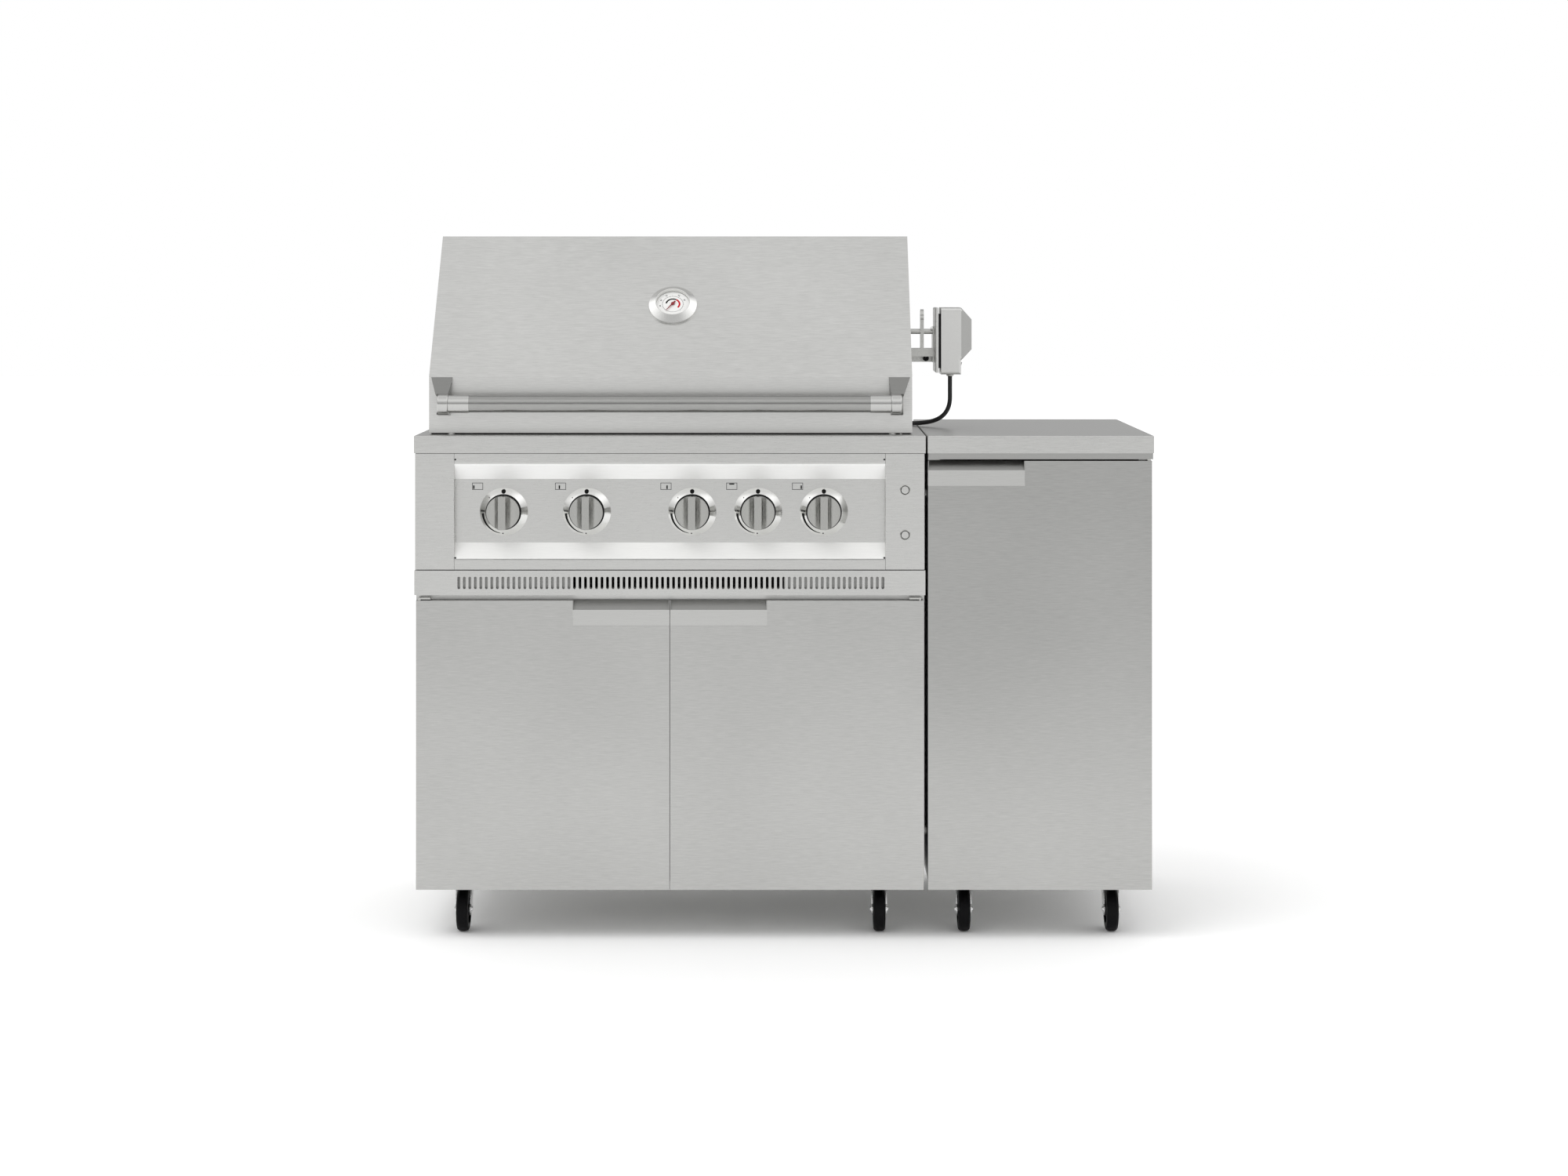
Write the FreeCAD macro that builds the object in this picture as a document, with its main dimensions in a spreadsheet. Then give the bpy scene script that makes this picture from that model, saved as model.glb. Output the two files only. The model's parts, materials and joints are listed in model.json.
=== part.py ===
"""Outdoor kitchen island: a gas grill cart with a side cabinet beside it.

Millimetres. +Z is up, +X runs to the right of a person who faces the island, and +Y runs from
the front to the back. The origin is on the floor, under the middle of the island.
"""
import FreeCAD, Part
import math
import os
import re
import Sketcher

Vector = FreeCAD.Vector

# Driving sizes, each measured on the real object by itself.
DRIVING = {
    # Worktops
    "counter_height": 920, "counter_depth": 640, "counter_skirt": 32, "counter_gauge": 2,
    "counter_bend": 2, "cart_width": 935, "side_width": 414, "cabinet_gap": 3, "side_hem": 11,
    "hem_lap": 4, "knob_reach": 27,
    # Cabinets
    "sheet_gauge": 1.5, "body_inset": 2, "cabinet_base": 103, "flange_width": 22, "back_inset": 10,
    "floor_gauge": 2, "link_radius": 8, "link_inset": 80, "header_drop": 8, "header_lap": 12,
    "tray_play": 2.5, "tray_gap": 1,
    # Doors
    "door_thickness": 18, "door_setback": 2, "door_edge": 4, "side_overhang": 4, "side_edge": 1,
    "door_gap": 1, "door_foot": 91, "door_head": 619, "door_shadow": 3, "liner_inset": 0.8,
    "pull_width": 177, "pull_mouth": 17, "pull_plate": 29, "pull_depth": 13.5, "pull_set": 0.8,
    "pull_space": 0.3,
    # Door pivots
    "pivot_inset": 6, "pivot_radius": 3, "pivot_clearance": 0.05, "pivot_arm": 20, "pivot_plate": 3,
    "pivot_space": 2, "pivot_nose": 3.5, "pivot_side": 1.5, "pivot_tongue": 25, "pin_grip": 4,
    "relief_space": 2, "side_pivot_space": 4,
    # Front of the cart
    "counter_seam": 1, "vent_gap": 10, "vent_height": 45, "vent_setback": 1, "seam": 1.5,
    "stile_width": 72, "stile_bend": 1.5, "fascia_setback": 3, "recess_depth": 18,
    "strip_height": 20, "bevel_rise": 28, "fold_radius": 9, "slot_pitch": 10.05, "slot_width": 5,
    "slot_length": 22.5, "slot_margin": 79,
    # Controls
    "knob_first": 163, "knob_second": 315, "knob_third": 508, "knob_fourth": 628.5,
    "knob_fifth": 749, "knob_drop": 1.8, "knob_radius": 30.3, "knob_grip": 14, "knob_scoop": 24,
    "knob_edge": 1.2, "bezel_radius": 44, "bezel_height": 10, "bezel_wall": 1.7, "bezel_seat": 6,
    "knob_clearance": 0.8, "stem_radius": 4, "stem_clearance": 0.05, "stem_hole": 6,
    "stem_reach": 25, "stem_space": 2, "run_gap": 0.3, "button_radius": 7, "button_ring": 10,
    "button_rise": 41, "button_length": 16, "button_edge": 1, "button_proud": 4,
    "button_travel": 2.5, "collar_wall": 1.2, "collar_sink": 1, "barrel_wall": 1.8,
    "barrel_tail": 8, "barrel_clearance": 0.2,
    # Gas train
    "manifold_back": 34, "manifold_radius": 9, "manifold_tail": 40, "valve_width": 28,
    "valve_height": 26, "valve_back": 12, "feed_width": 20, "feed_height": 16, "burner_radius": 12,
    "burner_wall": 1.5, "burner_mouth": 60, "burner_drop": 137, "burner_inset": 44,
    "burner_count": 4, "tamer_margin": 50, "tamer_rise": 28, "tamer_gauge": 2, "tamer_lift": 22,
    "rear_burner_width": 600, "rear_burner_depth": 34, "rear_burner_height": 110,
    "rear_burner_rise": 110, "rear_burner_rim": 13, "rear_burner_sink": 8,
    # Firebox, grates and tray
    "firebox_width": 850, "firebox_depth": 410, "firebox_height": 225, "firebox_setback": 66,
    "rim_width": 12, "cutout_gap": 3, "ledge_depth": 14, "ledge_gauge": 2, "prop_depth": 12,
    "rest_depth": 20, "rest_gauge": 4, "rest_setback": 70, "mouth_clearance": 1, "drain_width": 400,
    "drain_depth": 60, "drain_setback": 200, "grate_drop": 18, "grate_count": 3, "grate_gap": 4,
    "grate_inset": 4, "cross_bar": 8, "bar_pitch": 17, "bar_width": 6, "bar_height": 6,
    "bar_sink": 2, "tray_height": 25, "tray_length": 420, "tray_width": 560, "tray_drop": 10,
    "tray_wall": 2, "tray_run": 0.5, "tray_stand": 2, "lip_gauge": 6, "lip_reach": 12,
    "lip_drop": 4, "lip_rise": 6, "rail_gauge": 2, "rail_shelf": 14, "rail_setback": 150,
    # Hood
    "hood_width": 889, "hood_setback": 45, "hood_lift": 3, "hood_band": 103, "hood_height": 364,
    "slope_run": 235, "hood_depth": 452, "hood_lip": 10, "cheek_depth": 250, "cheek_height": 202,
    "ear_drop": 82, "ear_length": 57, "pivot_back": 35, "pivot_drop": 47, "hood_pin": 4,
    "pin_head": 9, "pin_head_gauge": 3, "pin_slack": 0.5, "handle_length": 848,
    "handle_radius": 15.5, "handle_reach": 42, "handle_rise": 55, "sleeve_length": 37.6,
    "sleeve_wall": 1, "cap_length": 20, "cap_radius": 18, "cap_edge": 3, "arm_lap": 16.4,
    "arm_width_top": 39.4, "arm_width_low": 20.5, "arm_draft": 5, "arm_shoulder": 12, "arm_nose": 4,
    "arm_toe": 6, "arm_lip": 2, "arm_foot": 5, "fold_clearance": 0.5,
    # Thermometer
    "dial_radius": 45, "dial_height": 12.5, "dial_flank": 4, "dial_along": 174, "dial_rim": 12.5,
    "dial_well": 14, "dial_flare": 0.5, "dial_seat": 4, "dial_gauge": 1, "probe_radius": 5,
    "probe_length": 59, "probe_clearance": 1, "needle_shaft": 2, "needle_sink": 2,
    "needle_level": 7, "needle_hub": 3.5, "needle_length": 21, "needle_width": 3.2,
    "needle_tip": 0.6, "needle_tail": 7, "needle_gauge": 0.8, "needle_play": 0.5,
    "needle_rest": 143.5, "hub_height": 1.4, "hub_taper": 0.5,
    # Rear housing
    "housing_front": 255, "housing_back": 445, "housing_crown": 110, "housing_drop": 25,
    "housing_chamfer": 95, "hood_clearance": 2,
    # Rotisserie
    "spit_radius": 5, "spit_rise": 184.5, "spit_setback": 310, "slot_clearance": 0.3,
    "fork_place": 150, "collar_radius": 14, "collar_length": 18, "bridge_width": 6,
    "bridge_reach": 42, "tine_length": 102, "tine_radius": 2.5, "tine_spread": 39,
    "bracket_reach": 53, "bracket_drop": 32.5, "bracket_height": 27, "bracket_depth": 45,
    "bracket_setback": 10, "flange_rise": 9, "strap_gauge": 3, "channel_round": 4.3,
    "channel_face": 15.5, "guide_inset": 29.6, "guide_front": 9.9, "guide_width": 6.5,
    "guide_depth": 25, "guide_height": 75, "motor_neck": 5.2, "neck_margin": 8, "neck_inset": 12,
    "plate_gauge": 6.5, "plate_margin": 2, "plate_round": 3,
    "motor_height": 127.5, "motor_depth": 90, "motor_rise": 46, "motor_drive": 23, "drive_space": 2,
    "motor_body": 38.3, "motor_bulge": 20.6, "bulge_taper": 14, "bulge_top": 22.5,
    "bulge_foot": 48, "body_foot": 27, "plate_height": 124, "motor_round": 6, "switch_width": 20,
    "switch_height": 18,
    "switch_tilt": 3.5, "switch_rise": 5, "switch_depth": 8, "switch_root": 6, "switch_bevel": 1,
    "switch_swell": 1.2, "switch_pin": 1.5, "switch_inset": 3, "switch_grip": 3,
    # Lead
    "cord_radius": 4.25, "cord_lift": 0.2, "bush_length": 4, "bush_radius": 8, "bush_taper": 1.5,
    "coil_radius": 56, "coil_pitch": 9.2, "layer_pitch": 9.1, "coil_inset": 176, "coil_setback": 76,
    "coil_lead": 8.5, "coil_approach": 42.5, "coil_tail": 25, "plug_radius": 13.2, "plug_flat": 0.5,
    "plug_body": 38, "relief_length": 26, "relief_tip": 0.1, "relief_root": 1.6, "prong_length": 18,
    "prong_radius": 2.4, "prong_spread": 6.5,
    # Castors
    "wheel_radius": 40, "wheel_width": 22, "wheel_setback": 84, "wheel_edge": 6, "rim_radius": 27,
    "hub_radius": 13, "web_depth": 4, "castor_trail": 32, "axle_radius": 3, "nut_radius": 4.5,
    "nut_length": 2.5, "castor_inset": 83, "side_castor_inset": 70.5, "fork_gauge": 2.5, "fork_gap": 1,
    "fork_eye": 12, "fork_toe": 11, "fork_dip": 4, "fork_heel": 24, "fork_cheek": 22,
    "head_radius": 24, "plate_size": 64, "castor_plate": 3, "head_height": 8, "kingpin_radius": 5,
    "washer_radius": 9, "washer_gauge": 4, "neck_radius": 20, "brake_back": 10, "brake_rise": 46,
    "brake_pin": 2.5, "brake_hub": 5, "brake_reach": 38, "brake_nose": 12, "brake_crown": 8,
    "brake_tip": 3, "brake_gauge": 4, "brake_play": 0.5,
}

# Sizes that follow from the driving ones, in the order in which they are worked out.
DERIVED = {
    "front": "(knob_reach - counter_depth) / 2", "back": "front + counter_depth",
    "cart_left": "-(cart_width + cabinet_gap + side_width) / 2", "cart_right": "cart_left + cart_width",
    "side_left": "cart_right + cabinet_gap", "side_right": "side_left + side_width",
    "cart_mid": "cart_left + cart_width / 2",
    "skirt_foot": "counter_height - counter_skirt",
    "vent_foot": "door_head + vent_gap", "fascia_foot": "vent_foot + vent_height + seam",
    "door_front": "front + door_setback", "door_back": "door_front + door_thickness",
    "shell_front": "door_back + door_shadow", "shell_back": "back - back_inset",
    "shell_depth": "shell_back - shell_front", "shell_top": "counter_height - counter_gauge",
    "pull_lean": "atan((pull_depth - pull_set) / pull_mouth)",
    "pull_back": "pull_depth + sheet_gauge / cos(pull_lean)",
    "pull_mitre": "(sheet_gauge / cos(pull_lean) - sheet_gauge) / tan(pull_lean)",
    "shelf_z": "cabinet_base + pivot_space", "pivot_y": "door_front + pivot_inset",
    "fascia_head": "skirt_foot - counter_seam", "fascia_height": "fascia_head - fascia_foot",
    "fascia_front": "front + fascia_setback",
    "fascia_return": "shell_front - fascia_front",
    "panel_left": "cart_left + body_inset + stile_width",
    "panel_width": "cart_width - 2 * body_inset - 2 * stile_width",
    "panel_right": "panel_left + panel_width",
    "fold_low": "fascia_foot + strip_height", "fold_high": "skirt_foot - strip_height",
    "bevel_mitre": "sheet_gauge * tan(atan(recess_depth / bevel_rise) / 2)",
    "panel_face": "fascia_front + recess_depth", "knob_level": "(skirt_foot + fascia_foot) / 2 - knob_drop",
    "bezel_front": "panel_face - bezel_height", "knob_back": "bezel_front + bezel_seat - run_gap",
    "knob_front": "front - knob_reach",
    "button_x": "panel_right + stile_width / 2", "button_front": "fascia_front - button_proud",
    "hood_left": "cart_mid - hood_width / 2", "hood_right": "hood_left + hood_width",
    "hood_front": "front + hood_setback", "hood_foot": "counter_height + hood_lift",
    "hood_top": "hood_foot + hood_height", "fold": "hood_foot + hood_band",
    "slope_rise": "hood_height - hood_band", "slope_angle": "atan(slope_rise / slope_run)",
    "hood_back": "hood_front + hood_depth", "hinge_y": "hood_back - pivot_back",
    "hinge_z": "hood_top - pivot_drop", "cheek_back": "hood_front + cheek_depth",
    "handle_y": "hood_front - handle_reach", "handle_z": "hood_foot + handle_rise",
    "dial_y": "hood_front + dial_along * cos(slope_angle)",
    "dial_z": "fold + dial_along * sin(slope_angle)",
    "housing_width": "hood_width - 2 * sheet_gauge - 2 * hood_clearance",
    "housing_left": "cart_mid - housing_width / 2", "housing_right": "housing_left + housing_width",
    "housing_y": "hood_front + housing_front", "housing_end": "hood_front + housing_back",
    "housing_top": "hood_top - housing_drop", "firebox_y": "front + firebox_setback",
    "firebox_end": "firebox_y + firebox_depth",
    "firebox_left": "cart_mid - firebox_width / 2", "firebox_foot": "counter_height - firebox_height",
    "tray_z": "firebox_foot - tray_height - tray_drop",
    "tray_y": "shell_back + tray_stand + lip_gauge - tray_length",
    "rail_foot": "tray_z - run_gap - rail_gauge",
    "rail_length": "shell_back - sheet_gauge - firebox_y - rail_setback",
    "grate_level": "counter_height - grate_drop",
    "grate_foot": "grate_level - bar_height - cross_bar + bar_sink",
    "grate_width": "(firebox_width - 2 * sheet_gauge - (grate_count + 1) * grate_gap) / grate_count",
    "manifold_y": "panel_face + manifold_back", "burner_y": "manifold_y + manifold_radius + run_gap",
    "burner_z": "counter_height - burner_drop", "burner_length": "firebox_end - burner_inset - burner_y",
    "tamer_z": "burner_z + burner_radius + tamer_lift",
    "tamer_half": "firebox_width / (2 * burner_count) - tamer_margin",
    "rear_burner_y": "housing_end - sheet_gauge - rear_burner_depth",
    "rear_burner_z": "hood_foot + rear_burner_rise",
    "spit_y": "front + spit_setback",
    "spit_z": "counter_height + spit_rise", "strap_top": "spit_z - bracket_drop",
    "plate_left": "housing_right + bracket_reach + strap_gauge",
    "motor_left": "plate_left + plate_gauge + motor_neck", "motor_side": "motor_left + motor_body",
    "motor_top": "spit_z + motor_rise", "motor_foot": "motor_top - motor_height",
    "motor_front": "spit_y - motor_depth / 2", "switch_x": "motor_side - switch_inset",
    "switch_z": "motor_foot + switch_rise + switch_height / 2",
    "side_door_head": "skirt_foot - side_hem - door_shadow",
    "wheel_y": "front + wheel_setback", "swivel_y": "wheel_y + castor_trail",
    "rear_wheel_y": "back - wheel_setback", "rear_plate_y": "rear_wheel_y - castor_trail",
    "plate_z": "cabinet_base - castor_plate",
    "head_top": "plate_z - run_gap", "head_foot": "head_top - head_height",
    "fork_inner": "wheel_width / 2 + fork_gap", "fork_outer": "fork_inner + fork_gauge",
    "brake_y": "wheel_y + brake_back", "brake_z": "wheel_radius + brake_rise",
    "coil_x": "hood_right - coil_inset", "coil_y": "housing_end + coil_setback",
    "cord_level": "counter_height + cord_radius + cord_lift",
    "bush_x": "motor_left + motor_body / 2", "bush_foot": "motor_foot - bush_length",
    "plug_x": "coil_x + coil_tail", "plug_y": "coil_y + coil_radius",
    "plug_z": "cord_level + layer_pitch",
    "grip_x": "plug_x + relief_length",
}

doc = FreeCAD.newDocument("outdoor_kitchen_island")
sizes = doc.addObject("Spreadsheet::Sheet", "Sizes")


def fill_sheet():
    """Write the driving sizes as numbers and the derived ones as formulas."""
    row = 1
    for alias, value in DRIVING.items():
        sizes.set("A%d" % row, alias)
        sizes.set("B%d" % row, str(value))
        sizes.setAlias("B%d" % row, alias)
        row += 1
    for alias, formula in DERIVED.items():
        sizes.set("A%d" % row, alias)
        sizes.set("B%d" % row, "=" + formula)
        sizes.setAlias("B%d" % row, alias)
        row += 1
    doc.recompute()


fill_sheet()
NAMES = set(DRIVING) | set(DERIVED)
NODES = []


def bound(text):
    """Turn words of the sheet into references that any object can read."""
    def refer(match):
        word = match.group()
        return "Sizes." + word if word in NAMES else word
    return re.sub(r"[a-z_]+", refer, str(text))


def size(text):
    """Work out an expression of the sheet's words as a number."""
    value = sizes.evalExpression(bound(text))
    return float(getattr(value, "Value", value))


def tie(obj, prop, text):
    """Bind one property of an object to the sheet."""
    obj.setExpression(prop, bound(text))


def place(obj, x, y, z):
    """Bind an object's position to the sheet."""
    for letter, text in zip("xyz", (x, y, z)):
        tie(obj, "Placement.Base." + letter, text)
    return obj


def box(x, y, z, length, width, height):
    """A block from its lowest corner and its three sides."""
    solid = doc.addObject("Part::Box", "Block")
    tie(solid, "Length", length)
    tie(solid, "Width", width)
    tie(solid, "Height", height)
    return place(solid, x, y, z)


TURN = {
    "X": FreeCAD.Rotation(Vector(0, 1, 0), 90),
    "Y": FreeCAD.Rotation(Vector(1, 0, 0), -90),
    "Z": FreeCAD.Rotation(),
}


def rod(axis, x, y, z, radius, height):
    """A round bar that starts at a point and runs along +X, +Y or +Z."""
    solid = doc.addObject("Part::Cylinder", "Rod")
    tie(solid, "Radius", radius)
    tie(solid, "Height", height)
    solid.Placement = FreeCAD.Placement(Vector(), TURN[axis])
    return place(solid, x, y, z)


def cone(axis, x, y, z, first, last, height):
    """A taper from its first radius to its last along an axis."""
    solid = doc.addObject("Part::Cone", "Taper")
    tie(solid, "Radius1", first)
    tie(solid, "Radius2", last)
    tie(solid, "Height", height)
    solid.Placement = FreeCAD.Placement(Vector(), TURN[axis])
    return place(solid, x, y, z)


def prism(plane, points, start, length):
    """A padded sketch: its corners are bound to the sheet, and it runs from start along the axis
    square to its plane."""
    body = doc.addObject("PartDesign::Body", "Body")
    sketch = body.newObject("Sketcher::SketchObject", "Outline")
    support = [item for item in body.Origin.OriginFeatures if item.Role == plane + "_Plane"][0]
    sketch.AttachmentSupport = [(support, "")]
    sketch.MapMode = "FlatFace"
    corners = [Vector(size(a), size(b), 0) for a, b in points]
    count = len(corners)
    for index in range(count):
        line = Part.LineSegment(corners[index], corners[(index + 1) % count])
        sketch.addGeometry(line, False)
    for index in range(count):
        sketch.addConstraint(Sketcher.Constraint("Coincident", index, 2, (index + 1) % count, 1))
    for index, pair in enumerate(points):
        for kind, text, number in zip(("DistanceX", "DistanceY"), pair, corners[index][:2]):
            which = sketch.addConstraint(Sketcher.Constraint(kind, -1, 1, index, 1, number))
            tie(sketch, "Constraints[%d]" % which, text)
    pad = body.newObject("PartDesign::Pad", "Pad")
    pad.Profile = sketch
    tie(pad, "Length", length)
    pad.Reversed = plane == "XZ"
    tie(body, "Placement.Base." + {"YZ": "x", "XZ": "y", "XY": "z"}[plane], start)
    body.Tip = pad
    return body


def group(parts):
    """Several solids held in one object, each still a solid of its own."""
    if len(parts) == 1:
        return parts[0]
    holder = doc.addObject("Part::Compound", "Group")
    holder.Links = list(parts)
    return holder


def fuse(*parts):
    """One solid from several that overlap or touch."""
    joined = doc.addObject("Part::MultiFuse", "Joined")
    joined.Shapes = list(parts)
    joined.Refine = True
    return joined


def cut(base, *tools):
    """A solid less the tools."""
    result = doc.addObject("Part::Cut", "Cut")
    result.Base = base
    result.Tool = group(tools)
    return result


def common(first, second):
    """What two solids share."""
    result = doc.addObject("Part::Common", "Shared")
    result.Base = first
    result.Tool = second
    return result


def rounded(base, radius, chosen):
    """Round the edges of base that the test chosen accepts."""
    doc.recompute()
    result = doc.addObject("Part::Fillet", "Rounded")
    result.Base = base
    number = size(radius)
    result.Edges = [(i + 1, number, number) for i, edge in enumerate(base.Shape.Edges) if chosen(edge)]
    return result


def node(label, *parts):
    """Name a finished sub-part."""
    made = group(parts)
    made.Label = label
    NODES.append(made)
    return made


def built(shape):
    """An object whose shape the script has worked out itself."""
    holder = doc.addObject("Part::Feature", "Formed")
    holder.Shape = shape
    return holder


def pan(x, y, z, length, width, height, gauge):
    """A folded worktop: a flat top with a skirt on four sides, open below."""
    outer = box(x, y, z, length, width, height)
    inner = box("%s + %s" % (x, gauge), "%s + %s" % (y, gauge), "%s - 1" % z,
                "%s - 2 * %s" % (length, gauge), "%s - 2 * %s" % (width, gauge),
                "%s - %s + 1" % (height, gauge))
    return outer, inner


# Worktops: folded steel sheets, the cart's with a cut-out that the grill head drops into.
def worktops():
    hole = box("firebox_left - cutout_gap", "firebox_y - cutout_gap", "skirt_foot",
               "firebox_width + 2 * cutout_gap", "firebox_depth + 2 * cutout_gap", "2 * counter_skirt")
    node("cart_counter", cut(pan("cart_left", "cart_width"), hole))
    hem = box("side_left + counter_gauge", "front + counter_gauge", "skirt_foot - side_hem",
              "side_width - 2 * counter_gauge", "sheet_gauge", "side_hem + hem_lap")
    node("side_counter", fuse(pan("side_left", "side_width"), hem))


def pan(left, width):
    """A folded worktop: a flat top with bent edges and a skirt on four sides, open below."""
    outer = box(left, "front", "skirt_foot", width, "counter_depth", "counter_skirt")
    bent = rounded(outer, "counter_bend", lambda edge: edge.CenterOfMass.z > size("skirt_foot") + 1)
    inner = box(left + " + counter_gauge", "front + counter_gauge", "skirt_foot - 1",
                width + " - 2 * counter_gauge", "counter_depth - 2 * counter_gauge",
                "counter_skirt - counter_gauge + 1")
    return cut(bent, inner)


# Cabinets: bent shells with turned-in front edges, and floors that the castors bolt to.
def shell(left, width, mouths):
    """A sheet bent round the sides and back, its turned-in front open between the mouths' levels."""
    outer = box(left, "shell_front", "cabinet_base", width, "shell_depth", "shell_top - cabinet_base")
    inner = box(left + " + sheet_gauge", "shell_front + sheet_gauge", "cabinet_base - 1",
                width + " - 2 * sheet_gauge", "shell_depth - 2 * sheet_gauge",
                "shell_top - cabinet_base + 2")
    openings = [box(left + " + flange_width", "shell_front - 1", foot, width + " - 2 * flange_width",
                    "sheet_gauge + 2", head + " - (" + foot + ")") for foot, head in mouths]
    return cut(outer, inner, *openings)


def floor(left, width):
    """The plate that closes a cabinet's foot."""
    return box(left + " + sheet_gauge", "shell_front + sheet_gauge", "cabinet_base",
               width + " - 2 * sheet_gauge", "shell_depth - 2 * sheet_gauge", "floor_gauge")


def cabinets():
    left, width = "cart_left + body_inset", "(cart_width - 2 * body_inset)"
    mouths = [("cabinet_base - 1", "door_head - header_drop"), ("vent_foot + header_lap", "shell_top + 1")]
    tray_door = box("cart_mid - tray_width / 2 - tray_play", "shell_back - 5", "tray_z - tray_gap",
                    "tray_width + 2 * tray_play", "10", "tray_height + 2 * tray_gap")
    node("cart_shell", cut(shell(left, width, mouths), tray_door), floor(left, width))

    left, width = "side_left + body_inset", "(side_width - body_inset - side_overhang)"
    links = [rod("X", "cart_right - body_inset", y, z, "link_radius", "cabinet_gap + 2 * body_inset")
             for y in ("shell_front + link_inset", "shell_back - link_inset")
             for z in ("cabinet_base + link_inset", "skirt_foot - link_inset")]
    mouths = [("cabinet_base - 1", "shell_top + 1")]
    node("side_shell", shell(left, width, mouths), floor(left, width), *links)


# Doors: a folded skin with an inner liner, a scooped pull let into the top corner.
def door(name, left, width, head, pull_at, hinge):
    height = "(" + head + " - door_foot)"
    bend = head + " - pull_mouth"
    low = bend + " - pull_plate"
    skin = box(left, "door_front", "door_foot", width, "door_thickness - sheet_gauge", height)
    hollow = box(left + " + sheet_gauge", "door_front + sheet_gauge", "door_foot + sheet_gauge",
                 width + " - 2 * sheet_gauge", "door_thickness", height + " - 2 * sheet_gauge")
    notch = box(pull_at, "door_front - 1", low, "pull_width", "pull_back + pull_space + 1",
                "pull_plate + pull_mouth + 1")
    right_hung = hinge == "right"
    axis = left + (" + " + width + " - pivot_inset" if right_hung else " + pivot_inset")
    relief = box(axis + (" - pivot_arm - relief_space" if right_hung else " - pivot_inset - 1"),
                 "door_front + sheet_gauge", "door_foot - 1", "pivot_arm + relief_space + pivot_inset + 1",
                 "door_thickness", "shelf_z - door_foot + 1")
    shelf_reach = "pivot_arm + relief_space + sheet_gauge"
    shelf = box(axis + (" - (" + shelf_reach + ")" if right_hung else " - pivot_inset"),
                "door_front + sheet_gauge / 2", "shelf_z", shelf_reach + " + pivot_inset",
                "door_thickness - 1.5 * sheet_gauge", "sheet_gauge")
    hole = rod("Z", axis, "pivot_y", "door_foot", "pivot_radius + pivot_clearance", height + " + 5")
    skin_parts = cut(fuse(cut(skin, hollow, relief), shelf), hole, notch)
    liner = box(left + " + liner_inset", "door_back - sheet_gauge", "door_foot + liner_inset",
                width + " - 2 * liner_inset", "sheet_gauge", height + " - 2 * liner_inset")
    node(name, skin_parts, cut(liner, relief))
    scoop = prism("YZ", [
        ("door_front + pull_set", low), ("door_front + pull_set", bend),
        ("door_front + pull_depth", head), ("door_front + pull_back", head),
        ("door_front + pull_set + sheet_gauge", bend + " - pull_mitre"),
        ("door_front + pull_set + sheet_gauge", low)], pull_at, "pull_width")
    wedge = [("door_front", bend), ("door_front + pull_set", bend),
             ("door_front + pull_depth", head), ("door_front", head)]
    ends = [prism("YZ", wedge, start, "sheet_gauge")
            for start in (pull_at, pull_at + " + pull_width - sheet_gauge")]
    node(name + "_pull", fuse(scoop, *ends))


def pivots(axis, side, head, top_plate):
    """Foot and head pivots of one door: a plate on the cabinet with a pin."""
    start = axis + (" - pivot_arm" if side == "right" else " - pivot_side")
    reach = "shell_front - pivot_y + pivot_nose"
    foot = box(start, "pivot_y - pivot_nose", "cabinet_base - pivot_plate", "pivot_arm + pivot_side",
               reach + " + pivot_tongue", "pivot_plate")
    foot_pin = rod("Z", axis, "pivot_y", "cabinet_base - pivot_plate", "pivot_radius",
                   "pivot_plate + pivot_space + sheet_gauge + pin_grip")
    top = box(start, "pivot_y - pivot_nose", top_plate, "pivot_arm + pivot_side", reach, "pivot_plate")
    top_pin = rod("Z", axis, "pivot_y", head + " - pin_grip", "pivot_radius",
                  top_plate + " - (" + head + ") + pin_grip + 1")
    return [fuse(foot, foot_pin), fuse(top, top_pin)]


def doors():
    left = "cart_left + door_edge"
    leaf = "((cart_width - 2 * door_edge - door_gap) / 2)"
    right = left + " + " + leaf + " + door_gap"
    side = "side_left + side_edge"
    side_leaf = "(side_width - side_edge - side_overhang)"
    door("door_left", left, leaf, "door_head", left + " + " + leaf + " - pull_width", "left")
    door("door_right", right, leaf, "door_head", right, "right")
    door("side_door", side, side_leaf, "side_door_head", side, "right")
    pins = pivots(left + " + pivot_inset", "left", "door_head", "door_head + pivot_space")
    pins += pivots(right + " + " + leaf + " - pivot_inset", "right", "door_head", "door_head + pivot_space")
    pins += pivots(side + " + " + side_leaf + " - pivot_inset", "right", "side_door_head",
                   "side_door_head + side_pivot_space")
    node("door_pivots", *pins)


# Front of the cart: two stiles, the recessed control panel and the slotted vent panel.
def stile(left):
    """A box of sheet, open at the back, with bent front corners."""
    outer = box(left, "fascia_front", "fascia_foot", "stile_width", "fascia_return", "fascia_height")

    def front_corner(edge):
        upright = edge.BoundBox.ZLength > size("fascia_height") / 2
        return upright and edge.CenterOfMass.y < size("fascia_front") + 0.1
    bent = rounded(outer, "stile_bend", front_corner)
    inner = box(left + " + sheet_gauge", "fascia_front + sheet_gauge", "fascia_foot + sheet_gauge",
                "stile_width - 2 * sheet_gauge", "fascia_return", "fascia_height - 2 * sheet_gauge")
    return cut(bent, inner)


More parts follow.
